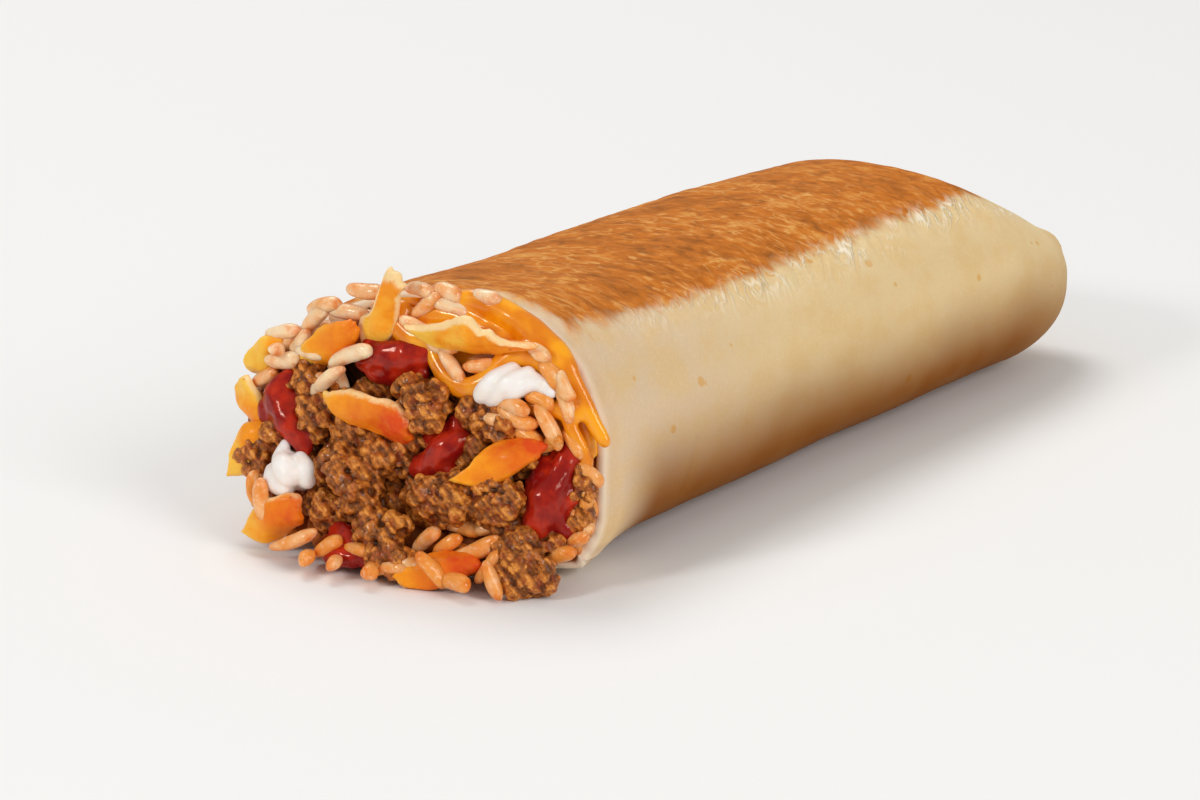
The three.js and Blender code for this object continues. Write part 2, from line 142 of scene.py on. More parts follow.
def noise(points, size, seed=0):
    """Smooth noise from -1 to 1 whose cells measure size, a number or one for each axis."""
    scaled = points / np.asarray(size, float)
    cells = np.floor(scaled).astype(np.int64)
    inside = scaled - cells
    inside = inside * inside * (3 - 2 * inside)
    total = np.zeros(points.shape[:-1])
    for corner in product((0, 1), repeat=3):
        weight = np.prod(np.where(np.array(corner) == 1, inside, 1 - inside), axis=-1)
        total += weight * lattice(cells + np.array(corner), seed)
    return 2 * total - 1


# ------------------------------------------------------------------ the roll's form


def outline_at(y):
    """Half width, roof, floor and sideways shift at a distance y behind the rim."""
    share = y / LENGTH
    height = HEIGHT * (1 - BACK_LOWERING * share) - WAIST_SINK * bell(y, WAIST_AT, WAIST_REACH)
    roof_fall = 1 - ramp(y, LENGTH - TOP_TAPER, LENGTH) ** TOP_POWER
    floor_fall = np.sqrt(1 - ramp(y, LENGTH - FLOOR_TAPER, LENGTH) ** FLOOR_POWER)
    narrowing = 1 - TIP_NARROWING * ramp(y, LENGTH - SIDE_TAPER, LENGTH) ** SIDE_POWER
    return (
        HALF_WIDTH * (1 - BACK_SLIMMING * share) * narrowing,
        TIP_TOP + (height - TIP_TOP) * roof_fall,
        np.minimum(TIP_HEIGHT * (1 - floor_fall), TIP_HEIGHT - TIP_LIP) - REST_SAG,
        BACK_BEND * share,
    )


def flare_at(y, angle):
    facing = 0.5 + 0.5 * np.cos(angle - FLARE_ANGLE)
    sunk = np.maximum(np.cos(angle - DROOP_ANGLE), 0)
    return (RIM_FLARE * facing**2 - RIM_DROOP * sunk**2) * np.exp(-y / FLARE_REACH)


def skin(y, angle, inset=0.0):
    """Points of the section at y in the direction of angle, inset from the outside."""
    y, angle = np.broadcast_arrays(np.asarray(y, float), np.asarray(angle, float))
    behind = np.maximum(y, 0)
    half, roof, floor, shift = outline_at(behind)
    middle = floor + (roof - floor) * BELLY
    sine, cosine = np.sin(angle), np.cos(angle)
    squaring = RIM_SQUARING * np.exp(-behind / SQUARING_REACH) * np.maximum(cosine, 0)
    power = 2 / np.where(sine > 0, ROOF_SQUARENESS, FLOOR_SQUARENESS + squaring)
    rise = np.where(sine > 0, roof - middle, middle - floor)
    swell = np.zeros_like(y)
    if not inset:
        past = np.mod(SEAM_ANGLE - angle, 2 * math.pi)
        uneven = 0.45 * np.sin(behind / 15 + 1.2 + 1.5 * sine) + 0.3 * np.sin(2 * angle + behind / 21)
        swell = 0.7 * (SEAM_STEP * np.exp(-past / SEAM_FADE) + uneven * ramp(y, LENGTH, LENGTH - TOP_TAPER))
    x = shift + (half - inset + swell) * signed_power(cosine, power)
    lifted = (swell + flare_at(behind, angle)) * np.maximum(sine, 0)
    z = middle + np.maximum(rise - inset, 0.3) * signed_power(sine, power) + lifted
    return xyz(x, y, np.maximum(z, inset))


def rim_at(angle):
    """How far behind Y = 0 the sheet's edge is."""
    lip = RIM_LIP * bell(angle, LIP_ANGLE, LIP_SPREAD)
    return 0.5 * np.sin(3 * angle + 0.6) + RIM_LEAN * (1 - np.cos(angle)) / 2 - lip


def face_at(x, z):
    """Where the front of the filling is."""
    fall = FOOT_SLUMP + (CROWN_SLUMP - FOOT_SLUMP) * ramp(z, 0, HEIGHT) + TOE_SLUMP * ramp(z, 7, 2) ** 2
    rounding = 1 - 0.45 * np.minimum(np.abs(x) / HALF_WIDTH, 1) ** 4
    return SLUMP_LEAN * x / HALF_WIDTH - fall * rounding


def behind_face(points):
    return points[:, 1] - face_at(points[:, 0], points[:, 2])


def on_face(x, z, out):
    return np.array([x, face_at(x, z) - out, z])


# ------------------------------------------------------------------ meshes


def ring_faces(rows, columns, closed=True):
    """Quads between the rows of a grid of points, whose columns may run round."""
    row = np.arange(rows - 1)[:, None] * columns
    column = np.arange(columns if closed else columns - 1)
    beside = (column + 1) % columns
    quads = np.stack([row + column, row + beside, row + columns + beside, row + columns + column], axis=-1)
    return quads.reshape(-1, 4).tolist()


def fan(centre, ring):
    return [[centre, ring[i], ring[(i + 1) % len(ring)]] for i in range(len(ring))]


def tube(rows):
    """A closed body from rows of points that run round, its two ends drawn to their middles."""
    rows = np.asarray(rows)
    count, columns, _ = rows.shape
    points = np.vstack([rows.reshape(-1, 3), rows[0].mean(0), rows[-1].mean(0)])
    faces = ring_faces(count, columns)
    faces += fan(count * columns, list(range(columns)))
    faces += fan(count * columns + 1, list(range((count - 1) * columns, count * columns)))
    return points, faces


def with_ends(values, end=0):
    """Numbers for a tube's rows, and one for the middle of each end."""
    return np.append(values, [end, end])


def joined(parts):
    """Several (points, faces) as one."""
    points, faces, start = [], [], 0
    for part_points, part_faces in parts:
        points.append(np.asarray(part_points))
        faces += [[start + i for i in face] for face in part_faces]
        start += len(part_points)
    return np.vstack(points), faces


def linked(name, data):
    """A new object in the scene."""
    item = bpy.data.objects.new(name, data)
    bpy.context.scene.collection.objects.link(item)
    return item


def new_object(name, points, faces):
    """A mesh object from points in the roll's own frame, smooth and facing outwards."""
    mesh = bpy.data.meshes.new(name)
    mesh.from_pydata(((np.asarray(points) + SHIFT) * MM).tolist(), [], faces)
    shaped = bmesh.new()
    shaped.from_mesh(mesh)
    bmesh.ops.recalc_face_normals(shaped, faces=shaped.faces)
    shaped.to_mesh(mesh)
    shaped.free()
    mesh.shade_smooth()
    return linked(name, mesh)


def triples(elements, name):
    """A vector of every element of a mesh, as rows."""
    flat = np.empty(len(elements) * 3)
    elements.foreach_get(name, flat)
    return flat.reshape(-1, 3)


def points_of(item):
    return triples(item.data.vertices, "co") / MM - SHIFT


def normals_of(item):
    return triples(item.data.vertex_normals, "vector")


def roughen(item, waves, lowest=-HEIGHT):
    """Moves the surface in and out by waves of (height, size, seed), and keeps it above the lowest height."""
    points = points_of(item)
    relief = np.zeros(len(points))
    for height, size, seed in waves:
        relief += height * noise(points, size, seed)
    points = points + normals_of(item) * relief[:, None]
    points[:, 2] = np.maximum(points[:, 2], lowest)
    item.data.vertices.foreach_set("co", ((points + SHIFT) * MM).ravel())
    item.data.update()


def paint(item, name, values):
    """Keeps a number for each vertex, which the materials read."""
    attribute = item.data.attributes.new(name, "FLOAT", "POINT")
    attribute.data.foreach_set("value", np.asarray(values, np.float32))


def hollows(item, rounds):
    """How far each vertex lies in a hollow of the surface, in millimetres, negative on a ridge."""
    points, normals = points_of(item), normals_of(item)
    edges = np.empty(len(item.data.edges) * 2, np.int64)
    item.data.edges.foreach_get("vertices", edges)
    a, b = edges.reshape(-1, 2).T
    count = np.bincount(a, minlength=len(points)) + np.bincount(b, minlength=len(points))
    smoothed = points
    for _ in range(rounds):
        total = np.zeros_like(points)
        for axis in range(3):
            total[:, axis] = np.bincount(a, smoothed[b, axis], len(points))
            total[:, axis] += np.bincount(b, smoothed[a, axis], len(points))
        smoothed = total / np.maximum(count, 1)[:, None]
    return ((smoothed - points) * normals).sum(1)


def after_modifiers(item):
    """The mesh of an object with its modifiers carried out."""
    bpy.context.view_layer.update()
    mesh = bpy.data.meshes.new_from_object(item.evaluated_get(bpy.context.evaluated_depsgraph_get()))
    mesh.shade_smooth()
    return mesh


def fuse(name, parts, voxel, smoothing=0):
    """Melts overlapping bodies into one skin of cells that measure voxel."""
    rough = new_object(name + "_rough", *joined(parts))
    remesh = rough.modifiers.new("fuse", "REMESH")
    remesh.mode = "VOXEL"
    remesh.voxel_size = voxel * MM
    remesh.use_smooth_shade = True
    if smoothing:
        smooth = rough.modifiers.new("smooth", "SMOOTH")
        smooth.factor = 0.6
        smooth.iterations = smoothing
    mesh = after_modifiers(rough)
    bpy.data.objects.remove(rough)
    mesh.name = name
    return linked(name, mesh)


def add_body(item, points, faces):
    """Adds a further closed body to a finished piece."""
    extra = new_object(item.name + "_extra", points, faces)
    whole = bmesh.new()
    whole.from_mesh(item.data)
    whole.from_mesh(extra.data)
    whole.to_mesh(item.data)
    whole.free()
    item.data.shade_smooth()
    bpy.data.objects.remove(extra)


def thin_out(item, most):
    """Takes out the triangles that matter least, until no more than the given number are left."""
    item.data.calc_loop_triangles()
    count = len(item.data.loop_triangles)
    if count <= most:
        return
    decimate = item.modifiers.new("thin_out", "DECIMATE")
    decimate.ratio = most / count
    rough = item.data
    item.data = after_modifiers(item)
    item.modifiers.clear()
    bpy.data.meshes.remove(rough)
    item.data.name = item.name


BALLS = {}


def ball(centre, radii, turn=(0, 0, 0), level=2):
    """An ellipsoid as points and faces."""
    if level not in BALLS:
        shaped = bmesh.new()
        bmesh.ops.create_icosphere(shaped, subdivisions=level, radius=1)
        BALLS[level] = (
            np.array([v.co for v in shaped.verts]),
            [[v.index for v in face.verts] for face in shaped.faces],
        )
        shaped.free()
    points, faces = BALLS[level]
    matrix = np.array(Euler(turn).to_matrix())
    return (points * np.asarray(radii, float)) @ matrix.T + np.asarray(centre), faces


def curve_through(points, count):
    """Points spread along a smooth curve through the given ones, each with any number of values."""
    points = np.asarray(points, float)
    padded = np.vstack([2 * points[0] - points[1], points, 2 * points[-1] - points[-2]])
    places = np.linspace(0, len(points) - 1 - 1e-6, count)
    index = places.astype(int)
    t = (places - index)[:, None]
    a, b, c, d = (padded[index + k] for k in range(4))
    return 0.5 * (2 * b + (c - a) * t + (2 * a - 5 * b + 4 * c - d) * t**2 + (3 * b - a - 3 * c + d) * t**3)


def strand(path, flatness=1.0):
    """A row of balls along a path of (x, z, out, radius) over the front of the filling."""
    rows = curve_through(path, 12 * (len(path) - 1))
    return [ball(on_face(x, z, out), (radius, radius * flatness, radius)) for x, z, out, radius in rows]


def ring_part(start, end, columns, grow, recess, tuck, reach):
    """A closed body between the core and the sheet, from one angle to another, set back by recess."""
    angles = np.linspace(start, end, columns)
    inner = [core_wall(y, angles, grow) for y in RING_STATIONS]
    outer = [skin(y, angles, WALL + tuck * ramp(y, reach, 0)) for y in RING_STATIONS]
    rows = []
    for depth in np.linspace(0, 1, 7):
        edge = inner[0] + (outer[0] - inner[0]) * depth
        edge[:, 1] = face_at(edge[:, 0], edge[:, 2]) + recess
        rows.append(edge)
    rows = np.array([*rows, *outer[1:], *reversed(inner[1:])])
    count = len(rows)
    faces = ring_faces(count, columns, closed=False)
    last = (count - 1) * columns
    faces += [[last + i, last + i + 1, i + 1, i] for i in range(columns - 1)]
    faces.append([row * columns for row in range(count)])
    faces.append([row * columns + columns - 1 for row in reversed(range(count))])
    return rows.reshape(-1, 3), faces


def core_wall(y, angles, grow=0.0):
    """Points of the beef's bare core."""
    x = CORE_X + (CORE_HALF_WIDTH + grow) * signed_power(np.cos(angles), 0.8)
    z = CORE_Z + (CORE_HALF_HEIGHT + grow) * signed_power(np.sin(angles), 0.8)
    return xyz(x, np.full_like(x, y), z)


def vein(x, z):
    """A vein of sauce or cream that runs back through the food."""
    angles = even_turns(12)
    ring = VEIN_RADIUS * xyz(np.cos(angles), 0 * angles, np.sin(angles))
    rows = []
    for y in np.linspace(face_at(x, z) + 1, POURED_END, 8):
        gathered = 0.25 * ramp(y, 4, POURED_END)
        rows.append(ring + [x * (1 - gathered), y, z + (CORE_Z - z) * gathered])
    return tube(rows)


# ------------------------------------------------------------------ materials


def linear(hexadecimal):
    """A colour written as 0xRRGGBB, in linear light."""
    shares = [((hexadecimal >> shift) & 255) / 255 for shift in (16, 8, 0)]
    return tuple(s / 12.92 if s <= 0.04045 else ((s + 0.055) / 1.055) ** 2.4 for s in shares)


def opaque(colour):
    """A colour given as 0xRRGGBB or as three numbers in linear light, with its alpha."""
    return (*(linear(colour) if isinstance(colour, int) else colour), 1)


def times(colour, factor):
    """A colour made darker or lighter."""
    return [min(factor * c, 1) for c in colour]


class Value:
    """A node's output that takes part in Python expressions."""

    def __init__(self, graph, socket):
        self.graph = graph
        self.socket = socket

    def math(self, operation, *operands):
        return self.graph.node("ShaderNodeMath", {"operation": operation}, dict(enumerate(operands)))

    def __add__(self, other):
        return self.math("ADD", self, other)

    def __sub__(self, other):
        return self.math("SUBTRACT", self, other)

    def __rsub__(self, other):
        return self.math("SUBTRACT", other, self)

    def __mul__(self, other):
        return self.math("MULTIPLY", self, other)

    def __abs__(self):
        return self.math("ABSOLUTE", self)

    __radd__ = __add__

    def between(self, start, end):
        """0 below start and 1 above end, with a smooth step between."""
        sockets = {"Value": self, "From Min": start, "From Max": end}
        return self.graph.node("ShaderNodeMapRange", {"interpolation_type": "SMOOTHSTEP"}, sockets)


class Graph:
    """A material's node tree."""

    def __init__(self, name):
        self.material = bpy.data.materials.new(name)
        self.material.use_nodes = True
        self.tree = self.material.node_tree
        self.tree.nodes.clear()

    def node(self, kind, settings=None, sockets=None, output=0):
        """A node of a kind with its settings, and the values or links of its sockets."""
        node = self.tree.nodes.new(kind)
        for name, value in (settings or {}).items():
            if name == "stops":
                self.set_stops(node.color_ramp, value)
            else:
                setattr(node, name, value)
        for name, value in (sockets or {}).items():
            if isinstance(value, Value):
                self.tree.links.new(value.socket, node.inputs[name])
            else:
                node.inputs[name].default_value = value
        return Value(self, node.outputs[output]) if node.outputs else None

    @staticmethod
    def set_stops(colour_ramp, stops):
        while len(colour_ramp.elements) < len(stops):
            colour_ramp.elements.new(0.5)
        for element, (place, colour) in zip(colour_ramp.elements, stops):
            element.position = place
            element.color = opaque(colour)

    def painted(self, *names):
        """Numbers kept on the mesh."""
        return [self.node("ShaderNodeAttribute", {"attribute_name": name}, output="Fac") for name in names]

    def vector(self, *numbers):
        """Two or three numbers as a vector."""
        return self.node("ShaderNodeCombineXYZ", sockets=dict(enumerate(numbers)))

    def place(self):
        """The place in the part's frame, in millimetres."""
        at = self.node("ShaderNodeTexCoord", output="Object")
        return self.node("ShaderNodeVectorMath", {"operation": "SCALE"}, {0: at, "Scale": 1 / MM})

    def divided(self, vector, size):
        """A vector over a size, which is a number or one for each axis."""
        sizes = size if isinstance(size, tuple) else (size, size, size)
        return self.node("ShaderNodeVectorMath", {"operation": "DIVIDE"}, {0: vector, 1: sizes})

    def noise(self, vector, size, detail=3.0, roughness=0.55, distortion=0.0):
        """Noise from 0 to 1 with cells of the given size."""
        return self.node("ShaderNodeTexNoise", sockets={
            "Vector": self.divided(vector, size), "Scale": 1.0, "Detail": detail,
            "Roughness": roughness, "Distortion": distortion,
        })

    def cells(self, vector, size):
        """Distance to the middle of the nearest of many rounded cells, about 0 to 1."""
        sockets = {"Vector": vector, "Scale": 1 / size, "Randomness": 1.0}
        return self.node("ShaderNodeTexVoronoi", sockets=sockets)

    def spots(self, vector, size, radius):
        """Scattered spots: 1 inside and 0 outside, one in some of the cells."""
        cell = {"Vector": self.divided(vector, size), "Scale": 1.0, "Randomness": 1.0}
        distance = self.node("ShaderNodeTexVoronoi", sockets=cell)
        tone = self.node("ShaderNodeTexVoronoi", sockets=cell, output="Color")
        own = self.node("ShaderNodeSeparateColor", sockets={0: tone})
        return (own.between(0.45, 1.0) * radius - distance).between(0.0, 0.35 * radius)

    def mix(self, share, a, b):
        """A colour that is a where share is 0 and b where it is 1."""
        a, b = (c if isinstance(c, Value) else opaque(c) for c in (a, b))
        return self.node("ShaderNodeMix", {"data_type": "RGBA"}, {0: share, 6: a, 7: b}, output=2)

    def layered(self, colour, *layers):
        """A colour under others, each given as its share and itself."""
        for share, upper in layers:
            colour = self.mix(share, colour, upper)
        return colour

    def ramp(self, value, *stops):
        return self.node("ShaderNodeValToRGB", {"stops": stops}, {0: value})

    def surface(self, sockets):
        """Ends the tree in a shader."""
        shader = self.node("ShaderNodeBsdfPrincipled", sockets=sockets)
        self.node("ShaderNodeOutputMaterial", sockets={"Surface": shader})
        return self.material

    def food(self, colour, roughness, relief, scatter, glint=(0.5, (1, 1, 1)), coat=(0.0, 0.03)):
        """Ends the tree in a shader for food.

        relief: height, depth in millimetres and strength.
        scatter: share of the light that goes in, reach of each colour, and the unit of that in millimetres.
        glint: level and tint of the reflections.
        coat: share and roughness of a wet film.
        """
        height, depth, strength = relief
        bump = {"Height": height, "Distance": depth * MM, "Strength": strength}
        return self.surface({
            "Base Color": colour,
            "Roughness": roughness,
            "Normal": self.node("ShaderNodeBump", sockets=bump),
            "Subsurface Weight": scatter[0],
            "Subsurface Radius": scatter[1],
            "Subsurface Scale": scatter[2] * MM,
            "Specular IOR Level": glint[0],
            "Specular Tint": opaque(glint[1]),
            "Coat Weight": coat[0],
            "Coat Roughness": coat[1],
        })


def tortilla_material(looks):
    graph = Graph("baked_tortilla")
    place = graph.place()
    browned, foot, fold, edge = graph.painted("browned", "foot", "fold", "edge")
    around, along = graph.painted("round", "along")
    sheet = graph.vector(around, along)
    slanted = graph.vector(around, along - around * 0.7)
    patches = graph.noise(sheet, (12, 13, 1), roughness=0.6, distortion=1.0)
    mottle = graph.noise(sheet, (3.6, 2.6, 1), roughness=0.58, distortion=0.8)
    threads = graph.noise(sheet, (1.8, 1.2, 1), detail=2)
    lines = graph.noise(sheet, (4.6, 2.4, 1), detail=1, roughness=0.5, distortion=0.7)
    wrinkles = graph.noise(slanted, (5.0, 2.3, 1), detail=1.5, distortion=0.8)
    clouds = graph.noise(place, (6, 9, 6))
    grain = graph.noise(place, 0.5, detail=2)
    toast = graph.ramp(
        mottle * 0.48 + threads * 0.16 + patches * 0.36,
        (0.35, times(looks.toast, 0.5)), (0.45, times(looks.toast, 0.8)),
        (0.53, looks.toast), (0.66, 0xE09A48),
    )
    worn = patches.between(0.4, 0.56) * (1 - along.between(84, 112) * 0.7)
    crackle = (0.085 - abs(lines - 0.5)).between(0.0, 0.08) * threads.between(0.35, 0.65)
    toast = graph.mix(crackle * (worn * 0.6 + 0.08), toast, 0xEEB468)
    dough = graph.layered(
        graph.mix(along.between(5, 60), 0xDEC2A0, looks.dough),
        (clouds.between(0.35, 0.7) * 0.6, 0xE2BD80),
        (grain.between(0.45, 0.75) * 0.15, 0xF2E2C0),
        (graph.spots(sheet, (4.0, 4.6, 1), 0.22) * 0.6, 0xDCA044),
        # Foot: browner low on the sides, partly browning and partly painted shade towards the floor.
        (foot, looks.foot),
        # Painted light: the rim's end face made paler, against the shade that falls on it.
        (edge * 0.55, 0xFFF0DC),
    )
    uneven = (mottle - 0.5) * 0.6 + (wrinkles - 0.5) * 0.5 + (threads - 0.5) * 0.3
    ragged = (browned + uneven).between(0.12, 0.88)
    ridges = (0.1 - abs(wrinkles - 0.5)).between(0.0, 0.1) * fold * patches.between(0.38, 0.54)
    ridges = ridges * (along.between(20, 90) * 0.8 + 0.4)
    relief = (mottle * 0.5 + threads * 0.3 + crackle * 0.3) * (ragged * 0.9 + 0.1)
    relief = relief + grain * 0.1 + clouds * 0.4 + ridges * 0.9
    return graph.food(
        # ridges * 0.75 paints pale highlights along the slanting wrinkles beside the browned top.
        graph.layered(dough, (ragged, toast), (ridges * 0.75, 0xFFF2DA)),
        0.56 + grain * 0.14 - ridges * 0.25,
        (relief, 0.35, 0.9),
        scatter=(0.1, (1.0, 0.55, 0.25), 2.0),
        glint=(0.08, (1.0, 0.7, 0.4)),
    )


def beef_material(looks):
    graph = Graph("minced_beef")
    place = graph.place()
    hollow, depth = graph.painted("hollow", "depth")
    lumps = graph.noise(place, 3.4)
    fine = graph.noise(place, 0.45, roughness=0.65)
    grains = graph.cells(place + (fine - 0.5) * 0.6, 0.65)
    reddish = graph.noise(place, 1.5, detail=2)
    # Tone from lumps and fine noise, with painted light: darker in hollows and lighter on ridges (hollow),
    # darker between the granules and lighter on their tops (grains), up to the light orange glint stops.
    colour = graph.ramp(
        lumps * 0.4 + fine * 0.55 - grains * 0.34 - hollow * 0.4 + 0.19,
        (0.2, 0x441A06), (0.36, 0x70340C), (0.48, looks.beef),
        (0.6, times(looks.beef, 1.7)), (0.76, 0xEE9A40),
    )
    return graph.food(
        # depth paints near-black shade on the beef further behind the front.
        graph.layered(colour, (reddish.between(0.52, 0.66) * 0.45, 0x9A2E12), (depth, 0x1C0803)),
        0.5 - fine * 0.3,
        (fine * 0.5 - grains * 0.8, 0.45, 1.0),
        scatter=(0.05, (1.0, 0.4, 0.2), 0.8),
        glint=(0.45, (1.0, 0.72, 0.4)),
        coat=(0.28, 0.1),
    )


def rice_material(looks):
    graph = Graph("seasoned_rice")
    place = graph.place()
    tint, tip, depth = graph.painted("tint", "tip", "depth")
    tone = graph.noise(place, 2.0)
    fine = graph.noise(place, 0.6, detail=2)
    colour = graph.layered(
        # Paler where tint is low, towards the upper left: partly grains with less sauce, partly a painted
        # pool of light over the upper left.
        graph.mix((tint + (tone - 0.5) * 1.2).between(0.0, 1.0), looks.pale, looks.rice),
        # Darker orange towards the grains' ends: sauce there, and painted shade for the darker rims of
        # translucent grains.
        ((tip * 0.5 + (tone - 0.5) * 2.0).between(0.1, 0.8) * (tint * 0.6 + 0.35), 0xE0721A),
        (fine.between(0.55, 0.75) * 0.4, 0xFFE6C4),
        # depth paints shade on grains further behind the front, less on pale grains.
        (depth * (tint * 0.45 + 0.5), 0x8A3A0C),
        (graph.spots(place, 4.5, 0.07) * 0.85, 0x6A2A12),
    )
    return graph.food(
        colour,
        0.24 + fine * 0.14 + depth * 0.4,
        (tone * 0.5 + fine * 0.4, 0.3, 0.8),
        scatter=(0.3, (1.0, 0.7, 0.35), 1.2),
        glint=(0.35, (1.0, 0.8, 0.55)),
        coat=(0.4 - depth * 0.4, 0.04),
    )


def cheese_material(looks):
    graph = Graph("cheese_sauce")
    place = graph.place()
    tone = graph.noise(place, 5, detail=2)
    fine = graph.noise(place, 0.8, detail=2)
    colour = graph.mix(tone.between(0.38, 0.64), looks.cheese, 0xFFA812)
    return graph.food(
        graph.mix(graph.spots(place, 4.4, 0.06) * 0.85, colour, 0x7A2A10),
        0.2 + fine * 0.1,
        (tone * 0.5 + fine * 0.2, 0.3, 0.5),
        scatter=(0.15, (1.0, 0.55, 0.15), 1.5),
        glint=(0.4, (1.0, 0.8, 0.45)),
        coat=(0.5, 0.06),
    )


def red_sauce_material(looks):
    graph = Graph("red_sauce")
    place = graph.place()
    tone = graph.noise(place, 2.8)
    fine = graph.noise(place, 0.6, detail=2)
    return graph.food(
        graph.mix(tone.between(0.35, 0.7), looks.red, 0xC02C12),
        0.1 + fine * 0.1,
        (tone * 0.5 + fine * 0.2, 0.25, 0.5),
        scatter=(0.2, (1.0, 0.12, 0.04), 2.0),
        glint=(0.35, (1.0, 0.6, 0.45)),
        coat=(0.15, 0.03),
    )


def cream_material(looks):
    graph = Graph("soured_cream")
    place = graph.place()
    tone = graph.noise(place, 3, detail=2)
    fine = graph.noise(place, 0.5, detail=2)
    return graph.food(
        graph.mix(tone.between(0.4, 0.75) * 0.6, looks.cream, 0xEFDFD0),
        0.34 + fine * 0.1,
        (fine, 0.08, 0.5),
        scatter=(0.35, (1.0, 0.8, 0.6), 2.5),
        coat=(0.15, 0.2),
    )


def chip_material(looks):
    graph = Graph("corn_chip")
    place = graph.place()
    pale, tint = graph.painted("pale", "tint")
    tone = graph.noise(place, 3)
    fine = graph.noise(place, 0.45, roughness=0.6)
    colour = graph.ramp(
        tint + (tone - 0.5) * 0.9,
        (0.0, 0xFFC84A), (0.36, 0xFC9E1C), (0.75, looks.chip), (1.0, 0xE04A14),
    )
    colour = graph.layered(
        colour,
        ((pale + (fine - 0.5) * 0.5 + (tone - 0.5) * 0.6).between(0.4, 0.95), 0xFDD79A),
        (graph.spots(place, 2.6, 0.1) * 0.8, 0xB04A14),
    )
    return graph.food(
        colour,
        0.32 + fine * 0.2,
        (fine * 0.5 + tone * 0.5, 0.3, 0.9),
        scatter=(0.08, (1.0, 0.6, 0.3), 0.8),
        glint=(0.28, (1.0, 0.75, 0.4)),
        coat=(0.12, 0.12),
    )


# ------------------------------------------------------------------ settings


def colour_property(name, description, hexadecimal):
    return bpy.props.FloatVectorProperty(
        name=name, description=description, subtype="COLOR", size=3, min=0, max=1,
        default=linear(hexadecimal),
    )


def length_property(name, description, default, least, most):
    return bpy.props.FloatProperty(
        name=name, description=description, default=default * MM, min=least * MM, max=most * MM,
        unit="LENGTH", precision=5,
    )


class BurritoLooks(bpy.types.PropertyGroup):
    """Colours of the food."""

    dough: colour_property("Dough", "Unbrowned tortilla", 0xE7CB99)
    toast: colour_property("Toast", "Griddled tortilla on top", 0xCC7424)
    # Foot: the brown low on the sides, which stands for browning and for painted shade towards the floor.
    foot: colour_property("Foot", "Tortilla low on the sides", 0x864B08)
    beef: colour_property("Beef", "Minced beef between its ridges and hollows", 0x96521A)
    rice: colour_property("Rice", "Rice soaked in sauce", 0xF29A40)
    # Pale rice: the paler grains' colour, brightened as painted light on the upper left as well as less
    # sauce.
    pale: colour_property("Pale rice", "Rice with little sauce", 0xFFE2BA)
    cheese: colour_property("Cheese sauce", "Cheese sauce", 0xE8820A)
    red: colour_property("Red sauce", "Red sauce", 0x8C1210)
    cream: colour_property("Soured cream", "Soured cream", 0xFBF3EC)
    chip: colour_property("Corn chip", "Middle of the corn chips", 0xEC7614)


class BurritoSizes(bpy.types.PropertyGroup):
    """Sizes of the food."""

    grain_length: length_property("Grain length", "Length of a grain of rice", 7.4, 5, 9)
    grain_width: length_property("Grain width", "Thickness of a grain of rice", 2.2, 1.5, 3)
    pebble: length_property("Pebble", "Radius of the pebbles of a crumb of beef", 0.68, 0.5, 1.6)
    wrinkle: length_property("Wrinkle", "Height of the wrinkles beside the grilled top", 0.22, 0, 0.6)
    grains: bpy.props.IntProperty(
        name="Grains", description="Most grains of rice", default=380, min=20, max=440
    )
    seed: bpy.props.IntProperty(
        name="Seed", description="Start of the random numbers", default=4, min=0, max=999
    )


class BurritoStage(bpy.types.PropertyGroup):
    """Camera, floor and light."""

    focal_length: bpy.props.FloatProperty(
        name="Focal length", description="Focal length of the camera in millimetres",
        default=108.84, min=20, max=300,
    )
    floor: colour_property("Floor", "Pale floor", 0xF4F3F1)
    key: bpy.props.FloatProperty(
        name="Key light", description="Power of the large light", default=12.4, min=0, unit="POWER"
    )
    ambient: bpy.props.FloatProperty(
        name="Ambient", description="Strength of the light all round", default=0.4, min=0
    )


# ------------------------------------------------------------------ the tortilla

COLUMNS = 380
RIM_ROW = 0.9
BROWNED_RIGHT, BROWNED_LEFT, BROWNED_END = 20.2, -21.0, 120.5
TEAR_ANGLE, TEAR_SPREAD, TEAR_DEPTH = -0.74, 0.26, 2.6
DENT_Y, DENT_Z, DENT_LEAN, DENT_DEPTH = 22.5, 16, 0.35, 0.35
INSIDE_STATIONS = (RIM_ROW, 2.5, 5, 9, 14, 22, 40, 75, 112, 118, 124.5, 130, 134.5)

# Rows of the crease in the tip: share of the width, distance from the tip, how far the sheets are apart.
CREASE_ROWS = [
    (0.3, TIP_CREASE, 0.1), (0.6, TIP_CREASE, 0.1), (0.93, TIP_CREASE, 0.1),
    (0.95, 1.2, 0.5), (0.975, 0.3, 0.85),
]


def flat_sheet(across, along):
    """Places on the sheet laid flat, for noise."""
    return xyz(across, along, 0 * across)


def even_angles(count, y):
    """Angles round the section at y from its underside, closer where it is wrinkled, and their places."""
    fine = np.linspace(-math.pi / 2, 1.5 * math.pi, 60001)
    steps = np.linalg.norm(np.diff(skin(y, fine), axis=0), axis=1)
    travelled = np.concatenate([[0], np.cumsum(steps)])
    crowding = 1 + 0.9 * bell(fine[1:], 0.85, 0.5) - 0.4 * (fine[1:] > 2.6)
    spread = np.concatenate([[0], np.cumsum(steps * crowding)])
    angles = np.interp(np.linspace(0, spread[-1], count, endpoint=False), spread, fine)
    return angles, np.interp(angles, fine, travelled)


def grid_normals(rows):
    """Outward normals of a grid of points whose columns run round the roll."""
    along = np.gradient(rows, axis=0)
    across = np.roll(rows, -1, axis=1) - np.roll(rows, 1, axis=1)
    normals = np.cross(across, along)
    normals /= np.linalg.norm(normals, axis=-1, keepdims=True) + 1e-9
    middle = rows.mean(axis=1, keepdims=True)
    return normals * np.sign(((rows - middle) * normals).sum(-1, keepdims=True).mean())


